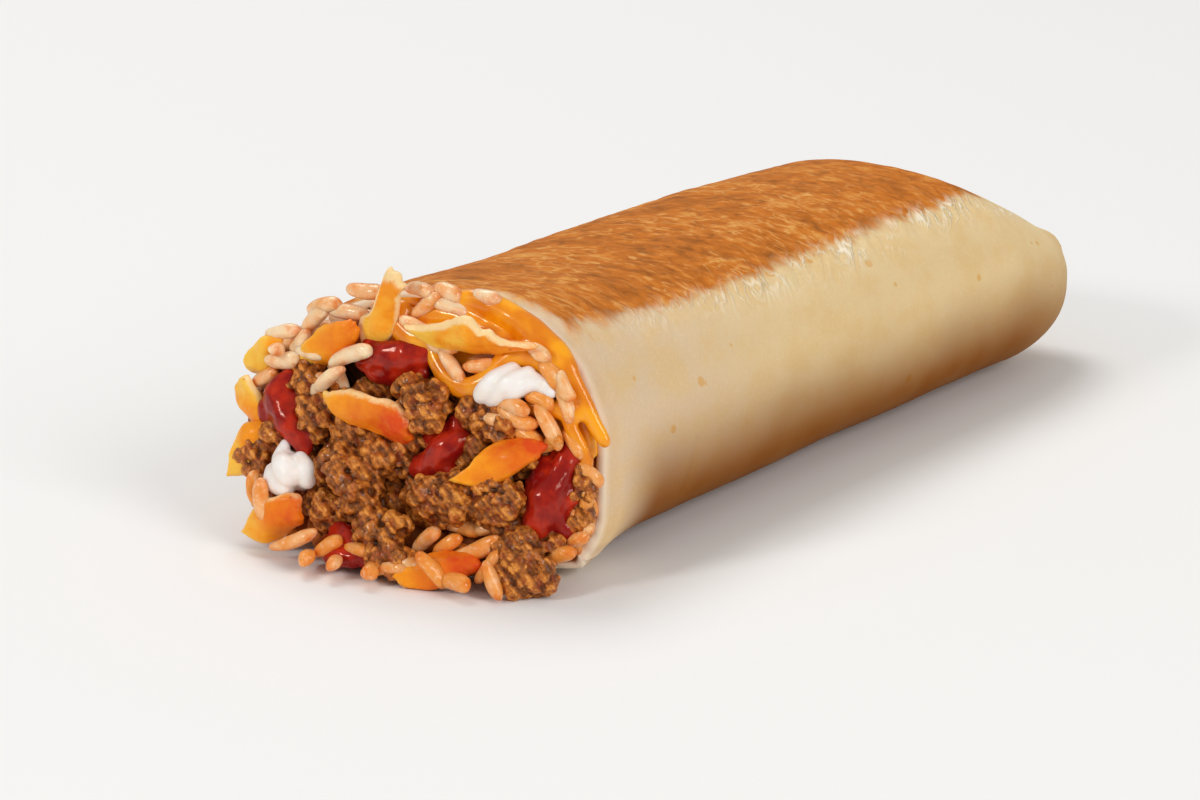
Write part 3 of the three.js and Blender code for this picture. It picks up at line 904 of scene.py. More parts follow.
def beside_panel(points):
    """How near points are to the side edge of the browned top, from 0 to 1."""
    x, y, z = np.moveaxis(points, -1, 0)
    near = bell(x - BROWNED_RIGHT, 1.2, 2.2)
    return near * ramp(z, 17, 23) * ramp(y, LENGTH - 6, LENGTH - 18) * ramp(y, 10, 24)


def fringe(sheet):
    """Short slanting wrinkles beside the browned top."""
    across = sheet[..., 0]
    slanted = flat_sheet(across, sheet[..., 1] - 0.7 * across)
    ridges = 1 - 2.6 * np.abs(noise(slanted, (7, 2.0, 1), 3))
    return np.maximum(ridges, 0) * ramp(noise(sheet, (3, 5, 1), 4), -0.7, 0.2)


def sheet_relief(points, sheet, wrinkle):
    """How far the outside stands proud of its even form."""
    x, y, z = np.moveaxis(points, -1, 0)
    relief = 1.5 * wrinkle * beside_panel(points) * fringe(sheet)
    on_top = smooth_ramp(z, 24, 31)
    relief += on_top * (0.09 * noise(sheet, (5, 1.8, 1), 7) + 0.06 * noise(sheet, (2.4, 0.9, 1), 8))
    relief += 0.2 * noise(points, (13, 17, 11), 1) + 0.08 * noise(points, (5, 7, 5), 2)
    gathered = ramp(y, LENGTH - 16, LENGTH - 3) ** 1.5
    relief *= 1 - 0.85 * ramp(y, LENGTH - 28, LENGTH - 6)
    relief += gathered * 0.1 * noise(sheet, (2.6, 14, 1), 9)
    off_dent = np.abs(y - DENT_Y - DENT_LEAN * (z - DENT_Z)) + 3 * ramp(np.abs(z - 11), 3.5, 6)
    relief -= DENT_DEPTH * bell(off_dent, 0, 0.7) * (x > 20)
    return relief * ramp(z, 0.2, 2.5)


def sheet_row(y, rim, angles, inset=0.0):
    """A row round the sheet, which near the open end follows the line of the rim."""
    return skin(y + rim * ramp(y, 10, 0) ** 2, angles, inset)


def crease_rows(angles):
    """Rows of points from deep in the tip's crease to the tip."""
    lip = skin(LENGTH, angles)
    for share, back, apart in CREASE_ROWS:
        z = TIP_HEIGHT + (lip[:, 2] - TIP_HEIGHT) * apart * min(share / 0.93, 1)
        yield xyz(lip[:, 0] * share, np.full(COLUMNS, LENGTH - back), z)


def tortilla_rows(wrinkle):
    """Rows of points from the tip's crease, along the outside, over the rim and back along the inside."""
    angles, places = even_angles(COLUMNS, 60.0)
    facing = np.where(angles > math.pi, angles - 2 * math.pi, angles)
    around_rim = flat_sheet(9 * facing, 0 * facing)
    torn = bell(facing, TEAR_ANGLE, TEAR_SPREAD)
    rim = rim_at(facing) + (0.35 + 1.1 * torn) * noise(around_rim, 1.7, 21)
    rim = rim + (0.15 + 0.9 * torn) * noise(around_rim, 0.7, 22) - TEAR_DEPTH * torn
    stations = np.concatenate([
        LENGTH - 6 * np.linspace(0.02, 1, 14) ** 2, np.linspace(LENGTH - 6.7, RIM_ROW, 206),
    ])
    creased = list(crease_rows(angles))
    outside = np.array([sheet_row(y, rim, angles) for y in stations])
    around, along = np.meshgrid(places, stations)
    sheet = flat_sheet(around, along)
    relief = sheet_relief(outside, sheet, wrinkle) * ramp(along, 0, 2.5)
    folds = beside_panel(outside)
    crinkled = bell(along, 1.6, 1.5) * smooth_ramp(outside[..., 0], 0, 9) * ramp(outside[..., 2], 24, 29)
    relief += 0.3 * crinkled * noise(sheet, (1.9, 1.3, 1), 41) - 0.8 * smooth_ramp(along, 3.2, RIM_ROW)
    outside = outside + grid_normals(outside) * relief[..., None]
    outer, inner = outside[-1], skin(RIM_ROW + rim, angles, SHEET)
    inner = inner + (outer - skin(RIM_ROW + rim, angles)) * 0.5
    middle = (outer + inner) / 2
    edge = []
    for turn in np.linspace(0, math.pi, 7)[1:-1]:
        step = middle + (outer - middle) * math.cos(turn)
        step[:, 1] -= 0.75 * math.sin(turn)
        edge.append(step)
    inside = [sheet_row(y, rim, angles, SHEET) for y in INSIDE_STATIONS]
    rows = np.concatenate([creased, outside, edge, inside])
    pulled = torn * smooth_ramp(rows[..., 1], 3, -4)
    rows[..., 0] += pulled * (1.3 + 1.3 * noise(around_rim, 0.9, 23))
    rows[..., 2] = rows[..., 2] * (1 - 0.3 * pulled) + pulled * np.maximum(noise(around_rim, 0.6, 24), 0)
    wrinkled = np.zeros(rows.shape[:2])
    wrinkled[len(creased) : len(creased) + len(outside)] = folds
    behind = np.concatenate([np.full(len(creased), LENGTH), stations, np.zeros(len(edge) + len(inside))])
    around = np.broadcast_to(places, rows.shape[:2])
    return rows, around, wrinkled, np.repeat(behind, COLUMNS), len(creased) + len(outside)


def build_tortilla(sizes):
    rows, around, wrinkled, behind, outer_rows = tortilla_rows(sizes.wrinkle / MM)
    behind = with_ends(behind, LENGTH)
    points, faces = tube(rows)
    item = new_object("rolled_tortilla", points, faces)
    x, y, z = points.T
    inside_panel = np.minimum.reduce([
        BROWNED_RIGHT + 2.3 * np.exp(-np.maximum(y, 0) / 8) - x, x - BROWNED_LEFT + 5 * ramp(y, 80, 110),
        BROWNED_END + 9 * ramp(x, 8, -4) - y, (z - 22 + 7 * ramp(y, 90, 120)) * 0.7,
        (behind - 1.0 - 1.5 * ramp(x, 2, 12)) * 1.5,
    ])
    inside_panel += 0.5 * noise(points, 6, 31) + 0.5 * noise(points, 2, 32)
    outer = np.zeros(len(points))
    outer[: outer_rows * COLUMNS] = 1
    paint(item, "browned", smooth_ramp(inside_panel, -2.6, 3.4) * outer)
    # Foot: browner lower down the sides, less near the rim and the tip; partly browning, partly painted shade
    # towards the floor.
    low_down = smooth_ramp(z, 23 + 2 * noise(points, 12, 33), 6) * (0.97 + 0.03 * noise(points, 4, 34))
    low_down *= smooth_ramp(y, 1, 14) * (1 - 0.3 * ramp(y, LENGTH - 28, LENGTH - 4))
    paint(item, "foot", np.clip(low_down, 0, 1) * outer)
    # Edge: the rim's end face, which the material makes paler as painted light against the shade there.
    paint(item, "edge", smooth_ramp(behind, 1.2, 0.5))
    # Fold: where the wrinkles beside the browned top lie; the material paints highlights along them.
    paint(item, "fold", with_ends(wrinkled))
    paint(item, "round", with_ends(around))
    paint(item, "along", y)
    return item


# ------------------------------------------------------------------ beef

# Crumbs that show: across, up, how far out, half width, half height, tilt in degrees.
CRUMBS = [
    (4.4, 22.5, 1.6, 4.1, 3.6, 20), (-6.2, 17.4, 0.6, 2.6, 2.4, 0), (-8.6, 20.2, -0.4, 2.6, 2.2, 40),
    (-12.6, 18.4, 0.8, 2.4, 3.0, 0), (-0.3, 15.3, 0.4, 3.9, 2.2, -15), (-3.6, 11.4, 2.0, 5.6, 2.9, -42),
    (2.2, 5.6, 2.2, 4.2, 3.3, 25), (-7.4, 6.6, 0.6, 3.4, 2.6, -20), (-9.8, 11.2, 0.2, 2.4, 2.8, 0),
    (10.3, 11.0, 1.6, 5.0, 3.3, 10), (17.6, 11.2, 1.6, 3.9, 3.7, 45), (14.2, 21.2, 0.6, 4.6, 2.1, -8),
    (12.6, 17.6, -0.6, 2.6, 2.0, 0), (-14.6, 23.0, 0.2, 2.6, 2.4, 30), (-18.2, 14.8, 0.2, 2.2, 2.4, 0),
    (-21.2, 12.0, 0.8, 2.8, 2.6, 20), (21.9, 5.2, 2.2, 2.9, 3.6, -60), (23.0, 2.9, 2.4, 2.5, 2.4, -50),
    (25.6, 2.6, 2.0, 2.4, 2.3, 20), (4.9, 3.0, 1.2, 3.3, 2.4, 0), (27.4, 13.6, 0.2, 1.6, 2.4, 0),
    (27.6, 9.6, 0.4, 1.6, 1.9, 30), (24.4, 6.6, 0.6, 2.0, 1.8, 0), (-1.6, 6.6, 0.2, 2.6, 2.2, 0),
    (2.2, 18.4, -0.8, 3.2, 2.2, 0), (19.6, 16.8, -1.0, 2.6, 2.2, 0), (-14.0, 10.2, -1.2, 2.6, 2.6, 0),
]
BACKING_CRUMBS = 46
BEEF_TRIANGLES = 180000


def crumb_parts(chance, centre, size, tilt, pebble):
    """A crumb of mince: a lumpy core with pebbles of very uneven size pressed into it."""
    spin = np.array(Euler((0, -tilt, 0)).to_matrix())
    parts = [ball(centre, 0.7 * size, (0, -tilt, 0), 3)]
    for _ in range(9):
        way = np.array([chance.uniform(-1, 1), chance.uniform(-1, 0.3), chance.uniform(-1, 1)])
        at = centre + spin @ (way / np.linalg.norm(way) * size * chance.uniform(0.55, 1.0))
        parts.append(ball(at, size.min() * chance.uniform(0.2, 0.48) * np.ones(3)))
    count = int(4 * math.pi * size.prod() ** (2 / 3) / (1.5 * pebble**2))
    for i in range(count):
        up = 1 - 2 * np.clip((i + chance.uniform(-1.5, 2.5)) / count, 0, 1)
        turn = golden_turn(i) + chance.uniform(-1.2, 1.2)
        flat = math.sqrt(1 - up * up)
        way = np.array([flat * math.cos(turn), flat * math.sin(turn), up])
        if way[1] > 0.45:
            continue
        at = centre + spin @ (way * size) * chance.uniform(0.64, 1.0)
        radius = pebble * (0.45 + 1.7 * chance.random() ** 2)
        radii = [radius * chance.uniform(0.6, 1.4) for _ in range(3)]
        parts.append(ball(at, radii, [chance.uniform(0, 3) for _ in range(3)]))
    return parts


def core_rows():
    """Rows of points of the core behind the crumbs, from its front to its end."""
    angles = even_turns(48)
    rows = []
    for share in np.linspace(0.1, 1, 8):
        row = core_wall(0, angles)
        row[:, 0] = CORE_X + (row[:, 0] - CORE_X) * share
        row[:, 2] = CORE_Z + (row[:, 2] - CORE_Z) * share
        row[:, 1] = face_at(row[:, 0], row[:, 2]) + 3
        rows.append(row + 0.5 * noise(row, 1.6, 7)[:, None])
    return rows + [core_wall(y, angles) for y in CORE_STATIONS]


def build_beef(sizes):
    chance = random.Random(sizes.seed)
    pebble = sizes.pebble / MM
    parts = []
    for x, z, out, half_width, half_height, tilt in CRUMBS:
        size = np.array([half_width, 0.8 * (half_width + half_height) / 2, half_height])
        parts += crumb_parts(chance, on_face(x, z, out), size, math.radians(tilt), pebble)
    for i in range(BACKING_CRUMBS):
        turn = golden_turn(i)
        share = math.sqrt((i + 0.5) / BACKING_CRUMBS)
        x = CORE_X + 0.93 * CORE_HALF_WIDTH * share * math.cos(turn)
        z = CORE_Z - 1.5 + 0.95 * CORE_HALF_HEIGHT * share * math.sin(turn)
        size = chance.uniform(1.3, 2.3) * np.array([1.2, 1, 1])
        at = on_face(x, z, chance.uniform(-3.0, -1.2))
        parts += crumb_parts(chance, at, size, chance.uniform(0, 3), pebble)
    item = fuse("minced_beef", parts, voxel=0.22)
    roughen(item, [(0.24, 1.15, 5), (0.17, 0.62, 6), (0.07, 0.36, 8)], lowest=0.15)
    thin_out(item, BEEF_TRIANGLES)
    add_body(item, *tube(core_rows()))
    # Hollow: how sunken each vertex is, which the material uses as painted shade in hollows and painted light
    # on ridges.
    paint(item, "hollow", np.clip(hollows(item, 8) * 2.2, -0.6, 0.6))
    # Depth: painted shade, darker the further the beef lies behind the front.
    paint(item, "depth", smooth_ramp(behind_face(points_of(item)), 0.2, 3.0) * 0.9)
    return item


# ------------------------------------------------------------------ rice

# Grains that show: across, up, how far out, slope in degrees, share of the full length.
PLACED_GRAINS = [
    (-9.6, 3.3, 2.6, 24, 1.05), (-4.2, 3.4, 2.4, 35, 0.7), (0.1, 3.4, 2.0, 5, 0.65),
    (8.9, 5.6, 2.2, 43, 0.85), (12.2, 5.3, 2.2, 37, 0.72), (16.8, 5.2, 2.6, 27, 1.15),
    (13.1, 3.3, 4.4, -47, 0.85), (19.5, 3.6, 2.9, 56, 0.8), (21.6, 2.8, 4.8, -63, 0.75),
    (26.7, 5.1, 2.4, 28, 0.8), (12.8, 7.6, 1.0, -8, 0.8), (15.8, 7.4, 0.8, 12, 0.8),
    (6.4, 2.4, 2.2, 12, 0.8), (9.6, 3.0, 2.8, -12, 0.85), (16.6, 2.2, 3.2, 8, 0.85),
    (-18.8, 8.3, 3.2, -76, 0.7), (-15.9, 7.9, 5.0, -80, 0.85), (-19.6, 29.0, 1.6, 15, 0.85),
    (-16.3, 28.0, 1.5, 48, 0.65), (-17.4, 28.7, 0.3, 20, 0.85), (-13.5, 33.2, 1.7, 20, 0.9),
    (-9.4, 33.0, 1.9, 4, 0.95), (-14.7, 31.4, 1.5, 44, 0.7), (-7.2, 35.9, 1.5, 3, 0.85),
    (-7.0, 27.9, 2.9, 23, 1.1), (-10.0, 24.2, 2.8, 39, 0.9), (-14.2, 27.0, 1.7, -6, 0.8),
    (-18.4, 25.3, 1.7, 12, 0.75), (-21.6, 22.4, 0.8, 30, 0.6), (-12.6, 22.4, 1.2, 62, 0.65),
    (1.8, 32.4, 2.2, -25, 0.75), (1.2, 37.2, 1.1, 2, 0.75), (2.4, 35.0, 1.8, 40, 0.85),
    (5.2, 37.2, 0.8, -8, 0.7), (10.9, 37.2, 0.7, 2, 0.7), (6.2, 35.4, 1.2, -12, 0.75),
    (5.9, 30.2, 1.8, -5, 0.75), (8.0, 27.8, 1.8, -42, 0.85), (12.3, 28.4, 1.7, 8, 0.8),
    (18.0, 24.3, 2.6, -6, 0.85), (18.8, 22.3, 2.2, -14, 0.9), (23.3, 21.9, 2.2, -60, 0.95),
    (20.4, 20.2, 1.6, -22, 0.8), (22.8, 28.6, 2.5, -52, 0.65), (24.8, 24.8, 1.5, -68, 0.75),
    (28.4, 15.6, 1.2, -32, 0.65), (28.3, 11.8, 1.1, 72, 0.6), (28.3, 9.2, 1.3, -38, 0.6),
    (27.9, 6.9, 1.6, 24, 0.6), (26.2, 19.6, 1.0, -50, 0.7), (20.8, 31.2, 2.6, -30, 0.55),
    (24.6, 27.0, 2.4, -62, 0.6), (21.6, 25.2, 2.2, -20, 0.6), (14.6, 21.9, 1.8, 4, 0.8),
    (23.6, 19.4, 1.4, 30, 0.6),
]

# Grains that point out of the front: across, up, how far out.
END_ON_GRAINS = [(-5.8, 2.3, 3.2), (-1.4, 2.3, 3.2), (-19.2, 26.9, 2.4), (4.2, 1.9, 2.6)]

# Grains behind those, which close the gaps between them.
BACKING_GRAINS = [(-19.2, 26.9, 0.3, 62, 0.8)]

FRONT_SHARE = 0.573
FRONT_TRIES, WALL_TRIES = 5000, 4000
APART = 0.62
VEIN_CLEARANCE, PIECE_CLEARANCE = 3.2, 1.5
LOWEST_GRAIN = 1.3


def grain_form(length, width, bluntness, columns=14, rings=15):
    """A cooked grain along X, slightly bent and ridged, and how near its ends each point is."""
    places = np.sin(np.linspace(-math.pi / 2, math.pi / 2, rings + 2))[1:-1]
    angles = even_turns(columns)
    rows = []
    for t in places:
        radius = width / 2 * (1 - abs(t) ** bluntness) ** 0.5 * (1 + 0.09 * t)
        ridged = radius * (1 + 0.05 * np.cos(3 * angles + 1.5 * t))
        bend = 0.05 * length * t * t
        along = np.full(columns, t * length / 2)
        rows.append(xyz(along, 0.9 * ridged * np.cos(angles), ridged * np.sin(angles) + bend))
    points, faces = tube(rows)
    return points, faces, smooth_ramp(np.abs(points[:, 0]) / length * 2, 0.35, 1)


def turned(points, spin, slope, lean):
    """Turns a form about its length, then in the plane of the front, then out of it."""
    matrix = Euler((spin, 0, 0)).to_matrix()
    matrix = Euler((0, 0, lean)).to_matrix() @ Euler((0, -slope, 0)).to_matrix() @ matrix
    return points @ np.array(matrix).T


def grain_line(middle, slope, lean, length):
    way = turned(np.array([[1.0, 0, 0]]), 0, slope, lean)[0]
    return middle + way * length / 2 * np.linspace(-0.75, 0.75, 4)[:, None]


class Grains:
    """Grains of rice, each kept clear of the others and of the veins."""

    def __init__(self, chance, sizes):
        self.chance = chance
        self.length, self.width = sizes.grain_length / MM, sizes.grain_width / MM
        self.forms = [grain_form(self.length, self.width, bluntness) for bluntness in (2.8, 3.4, 4.2)]
        self.veins = np.array([on_face(x, z, 2) for x, z in VEINS.values()])
        self.parts, self.tints, self.tips, self.lines = [], [], [], []

    def put(self, middle, slope, lean, share, apart=0.0):
        """Adds a grain, unless another or a vein is too near."""
        chance = self.chance
        line = grain_line(middle, slope, lean, self.length * share)
        if apart:
            gaps = np.linalg.norm(np.array(self.lines)[:, :, None] - line, axis=-1)
            off_veins = np.linalg.norm(self.veins[:, None] - line, axis=-1)
            if gaps.min() < apart * self.width or off_veins.min() < VEIN_CLEARANCE:
                return
        form, faces, ends = chance.choice(self.forms)
        points = form * [share, chance.uniform(0.9, 1.15), chance.uniform(0.9, 1.15)]
        points = turned(points, chance.uniform(0, 6.3), slope, lean)
        own = points + chance.uniform(0, 90)
        rumpled = 0.045 * noise(own, 1.6, 12) + 0.05 * noise(own, 0.8, 13)
        points = points * (1 + rumpled[:, None]) + middle
        points[:, 2] += max(0, GROUND_GAP - points[:, 2].min())
        # Paler towards the upper left: partly less sauce, partly a painted pool of light over the upper left.
        soaked = 0.95 - 0.55 * ramp(middle[2] - 0.5 * middle[0], 8, 32)
        tint = np.full(len(points), np.clip(soaked + chance.uniform(-0.25, 0.25), 0, 1))
        self.add(points, faces, tint, ends)
        self.lines.append(line)

    def add(self, points, faces, tint, tip):
        self.parts.append((points, faces))
        self.tints.append(tint)
        self.tips.append(tip)


def shown_pieces():
    """Ellipses of the front that grains keep out of: middle, half width and half height."""
    shown = [(x, z, wide, tall) for x, z, _, wide, tall, _ in CRUMBS]
    shown += [(*at, 0.4 * size[0], 0.5 * size[1]) for _, at, _, size, *_ in CHIPS.values()]
    pools = [path for paths in RED_SAUCES.values() for path in paths]
    shown += [(x, z, radius + 0.9, radius + 0.9) for path in pools for x, z, _, radius in path]
    return [(x, z, wide + PIECE_CLEARANCE, tall + PIECE_CLEARANCE) for x, z, wide, tall in shown]


def scatter_on_front(grains, most):
    """Strews grains over the parts of the front where rice shows."""
    chance = grains.chance
    shown = shown_pieces()
    for i in range(FRONT_TRIES):
        if len(grains.parts) >= most:
            break
        turn = golden_turn(i)
        reach = 0.6 + 0.38 * math.sqrt(chance.random())
        wall = skin(0, turn, SHEET + GAP)
        x, z = wall[0] * reach, CORE_Z + (wall[2] - CORE_Z) * reach
        cheesy = CHEESE_FROM < math.atan2(z - CORE_Z, x) < CHEESE_TO
        if cheesy and chance.random() < 0.93:
            continue
        if abs(x - CORE_X) / CORE_HALF_WIDTH < 0.75 and abs(z - CORE_Z + 1.5) < 0.8 * CORE_HALF_HEIGHT:
            continue
        if any(math.hypot((x - a) / wide, (z - b) / tall) < 1 for a, b, wide, tall in shown):
            continue
        if x < -20 and 3 < z < 22:
            continue
        low_down = z < 7
        out = chance.uniform(-0.4, 2.2) if low_down else chance.uniform(-0.9, 1.2)
        slope = chance.uniform(-0.3, 1.0) if low_down else chance.uniform(-0.9, 1.3)
        lean = chance.uniform(-0.5, 0.5) if chance.random() < 0.75 else chance.uniform(0.9, 1.5)
        middle = on_face(x, max(z, LOWEST_GRAIN), out)
        grains.put(middle, slope, lean, chance.uniform(0.75, 1.1), APART)


def scatter_on_wall(grains, most):
    """Strews grains along the sheet between the front and the rim."""
    chance = grains.chance
    for _ in range(WALL_TRIES):
        if len(grains.parts) >= most:
            break
        turn = chance.uniform(CHEESE_TO - 0.1, CHEESE_FROM + 2 * math.pi)
        leftwards = max(-math.cos(turn), 0)
        wall = skin(0, turn, SHEET + 0.55 * grains.width + 0.2 * leftwards)
        front = face_at(wall[0], wall[2]) + 2.4 - 0.8 * leftwards
        middle = np.array([wall[0], chance.uniform(front, max(front, 0)), max(wall[2], LOWEST_GRAIN)])
        middle[0] += leftwards * ramp(middle[1] - front, 3, 0)
        slope = turn + math.pi / 2 + chance.uniform(-0.7, 0.7)
        grains.put(middle, slope, chance.uniform(-0.5, 0.5), chance.uniform(0.7, 1.05), APART)


def build_rice(sizes):
    grains = Grains(random.Random(sizes.seed + 11), sizes)
    for x, z, out, slope, share in PLACED_GRAINS:
        lean = math.radians(grains.chance.uniform(-16, 16))
        grains.put(on_face(x, z, out), math.radians(slope), lean, share)
    for x, z, out in END_ON_GRAINS:
        grains.put(on_face(x, z, out), 0.15, -1.0, 0.7)
    scatter_on_front(grains, FRONT_SHARE * sizes.grains)
    scatter_on_wall(grains, sizes.grains)
    for x, z, out, slope, share in BACKING_GRAINS:
        grains.put(on_face(x, z, out), math.radians(slope), 0.0, share)
    core, faces = ring_part(
        CHEESE_TO, CHEESE_FROM + 2 * math.pi, columns=90, grow=-0.5, recess=1.3, tuck=0.9, reach=8
    )
    core[:, 1] += 0.5 * noise(core, (1.6, 4, 1.1), 17) * (core[:, 1] < 0)
    # The mass behind the grains takes the darker end colour all over; with depth this paints the shade in the
    # gaps between grains.
    grains.add(core, faces, 0.9 + 0.1 * noise(core, 2.5, 18), np.ones(len(core)))
    points, faces = joined(grains.parts)
    item = new_object("rice_grains", points, faces)
    paint(item, "tint", np.clip(np.concatenate(grains.tints), 0, 1))
    paint(item, "tip", np.concatenate(grains.tips))
    # Depth: painted shade on rice set back from the front, in front of the rim, and weaker towards the outer
    # ring of the filling.
    half, roof, floor, shift = outline_at(0)
    middle = floor + (roof - floor) * BELLY
    rise = np.where(points[:, 2] > middle, roof - middle, middle - floor)
    share = (np.abs(points[:, 0] - shift) / half) ** 2.6 + (np.abs(points[:, 2] - middle) / rise) ** 2.6
    shaded = ramp(points[:, 1], 0, -2) * (1 - 0.7 * smooth_ramp(share, 0.7, 0.9))
    paint(item, "depth", smooth_ramp(behind_face(points), -1.4, 1.6) * shaded)
    return item


# ------------------------------------------------------------------ sauces and cream

# Paths of (across, up, how far out, radius).
CHEESE_STRANDS = [
    [
        (6.0, 35.8, 0.2, 1.6), (9.7, 36.0, 0.3, 2.1), (13.6, 34.6, 0.2, 2.5), (17.5, 32.8, 0.0, 2.6),
        (21.5, 30.5, 0.0, 2.3), (23.7, 28.7, 0.4, 1.9),
    ],
    [
        (23.0, 29.8, 0.4, 1.8), (25.2, 26.6, 0.6, 1.6), (27.3, 23.5, 0.8, 1.4), (28.9, 21.2, 1.0, 1.2),
        (29.9, 20.0, 1.0, 0.95),
    ],
    [(24.2, 25.4, 1.0, 1.2), (25.4, 22.0, 1.2, 1.2), (26.8, 19.2, 1.0, 1.1), (27.9, 16.9, 0.9, 0.9)],
    [(-1.5, 34.0, 1.0, 1.5), (-1.1, 31.8, 1.4, 1.7), (1.5, 30.6, 1.6, 1.7), (4.2, 30.8, 1.4, 1.4)],
    [
        (4.6, 28.6, 1.2, 1.3), (7.2, 26.0, 1.4, 1.5), (10.4, 25.2, 1.5, 1.6), (13.1, 26.4, 1.5, 1.5),
        (15.2, 28.9, 1.4, 1.6), (17.5, 30.4, 1.4, 1.7), (20.5, 29.7, 1.4, 1.6), (23.2, 27.7, 1.4, 1.5),
    ],
    [(19.6, 23.4, 0.9, 1.2), (22.8, 23.6, 1.0, 1.4), (25.8, 23.2, 1.1, 1.3)],
    [(2.0, 33.6, 0.4, 2.2), (8.0, 33.2, 0.4, 2.4), (14.0, 31.4, 0.5, 2.2)],
]
RED_SAUCES = {
    "top": [
        [(-5.4, 26.4, 0.6, 1.6), (-2.8, 27.4, 1.4, 2.5), (0.2, 28.0, 1.6, 2.6), (2.8, 28.4, 1.0, 1.8)],
        [(-4.2, 25.4, 0.8, 1.5), (-1.6, 25.6, 1.2, 1.8), (1.1, 26.2, 0.8, 1.4)],
    ],
    "left": [
        [
            (-17.4, 22.8, 0.8, 1.4), (-18.6, 21.0, 1.6, 2.0), (-17.4, 19.2, 2.0, 2.4),
            (-15.6, 17.4, 2.0, 2.1), (-13.6, 15.4, 1.8, 1.5), (-12.6, 14.0, 1.5, 1.0),
        ],
    ],
    "middle": [
        [(10.6, 18.7, 0.8, 1.5), (9.0, 17.0, 1.4, 2.4), (7.1, 15.1, 1.2, 2.0), (4.6, 13.8, 0.6, 1.3)],
    ],
    "right": [
        [
            (25.6, 18.4, 0.4, 1.5), (25.0, 15.6, 1.0, 2.0), (24.0, 12.4, 1.8, 2.6), (23.4, 9.4, 1.8, 2.5),
            (22.8, 7.8, 1.2, 1.7),
        ],
        [(22.4, 16.2, 0.4, 1.5), (22.8, 13.8, 1.0, 1.9), (25.0, 10.6, 1.4, 2.0), (24.8, 8.6, 1.0, 1.6)],
    ],
    "foot": [
        [(-6.2, 4.8, 0.2, 1.4), (-4.2, 4.2, 0.6, 2.0), (-1.8, 3.2, 0.6, 2.0), (0.4, 2.4, 0.4, 1.5)],
        [(-5.6, 3.0, 0.0, 1.4), (-3.0, 2.2, 0.4, 1.6), (-0.6, 2.0, 0.2, 1.4)],
    ],
}
CREAM_SWIRLS = {
    "top": [
        [(13.2, 24.4, 2.0, 0.9), (13.9, 25.3, 2.9, 1.35), (15.4, 27.2, 3.2, 1.4), (17.4, 28.6, 2.6, 1.2)],
        [(14.9, 24.2, 2.2, 0.9), (16.1, 25.4, 3.1, 1.35), (17.8, 27.3, 3.4, 1.4), (19.8, 28.4, 2.8, 1.15)],
        [(17.0, 24.8, 2.0, 0.8), (18.4, 26.1, 2.9, 1.3), (20.2, 27.4, 3.1, 1.3), (22.2, 27.3, 2.3, 1.0)],
        [(18.8, 28.2, 2.6, 1.0), (21.0, 27.6, 2.8, 1.2), (23.0, 26.2, 2.2, 0.9)],
        [(14.6, 25.6, 1.4, 1.6), (18.5, 26.6, 1.8, 1.8), (21.0, 26.8, 1.4, 1.4)],
    ],
    "left": [
        [
            (-15.6, 14.6, 2.0, 0.8), (-15.4, 13.0, 2.8, 1.25), (-13.6, 12.3, 3.9, 1.9),
            (-12.6, 11.6, 4.1, 2.0),
        ],
        [(-16.4, 11.0, 2.6, 1.3), (-15.2, 10.2, 3.4, 1.7), (-13.4, 9.6, 3.6, 1.5)],
        [(-12.2, 13.4, 2.8, 1.1), (-10.8, 12.2, 3.2, 1.5), (-10.4, 10.8, 3.0, 1.3)],
        [(-14.6, 11.4, 1.6, 2.6), (-12.4, 11.0, 1.6, 2.4)],
    ],
}
VEINS = {
    "red_sauce_top": (-1.9, 27.0), "red_sauce_left": (-15.2, 18.4), "red_sauce_middle": (9.6, 17.4),
    "red_sauce_right": (23.6, 12.8), "red_sauce_foot": (-3.4, 5.0),
    "sour_cream_top": (17.3, 26.2), "sour_cream_left": (-14.6, 10.6),
}


def drops_beside(chance, path, lumps):
    """Small balls beside a path, the more the higher lumps is, from 0 to 1."""
    for x, z, out, radius in curve_through(path, 5 * len(path)):
        if chance.random() > lumps:
            continue
        size = radius * chance.uniform(0.45, 0.8)
        way = chance.uniform(0, 2 * math.pi)
        away = radius * chance.uniform(0.7, 1.25)
        at = on_face(x + away * math.cos(way), z + away * math.sin(way), out - 0.35 * radius)
        yield ball(at, (size, size * 0.8, size * chance.uniform(0.7, 1.3)))


def poured(name, paths, vein_at, seed, voxel, smoothing, flatness=1.0, lumps=0.0):
    """Strands over the front, with lumps beside them as one body, and the vein behind them."""
    chance = random.Random(seed)
    parts = []
    for path in paths:
        parts += strand(path, flatness)
        parts += drops_beside(chance, path, lumps)
    item = fuse(name, parts, voxel, smoothing)
    roughen(item, [(0.22, 2.6, 51), (0.1, 1.2, 52)] if lumps else [], lowest=GROUND_GAP)
    add_body(item, *vein(*vein_at))
    return item


def build_cheese(_sizes):
    parts = [part for path in CHEESE_STRANDS for part in strand(path, flatness=0.75)]
    item = fuse("melted_cheese", parts, voxel=0.32, smoothing=6)
    roughen(item, [(0.18, 3.2, 41)])
    points, faces = ring_part(CHEESE_FROM, CHEESE_TO, columns=60, grow=0.6, recess=0.3, tuck=-1.2, reach=2)
    points[:, 1] += 0.7 * noise(points, (4, 9, 2.6), 43) * (points[:, 1] < 0)
    add_body(item, points, faces)
    return item


# ------------------------------------------------------------------ corn chips

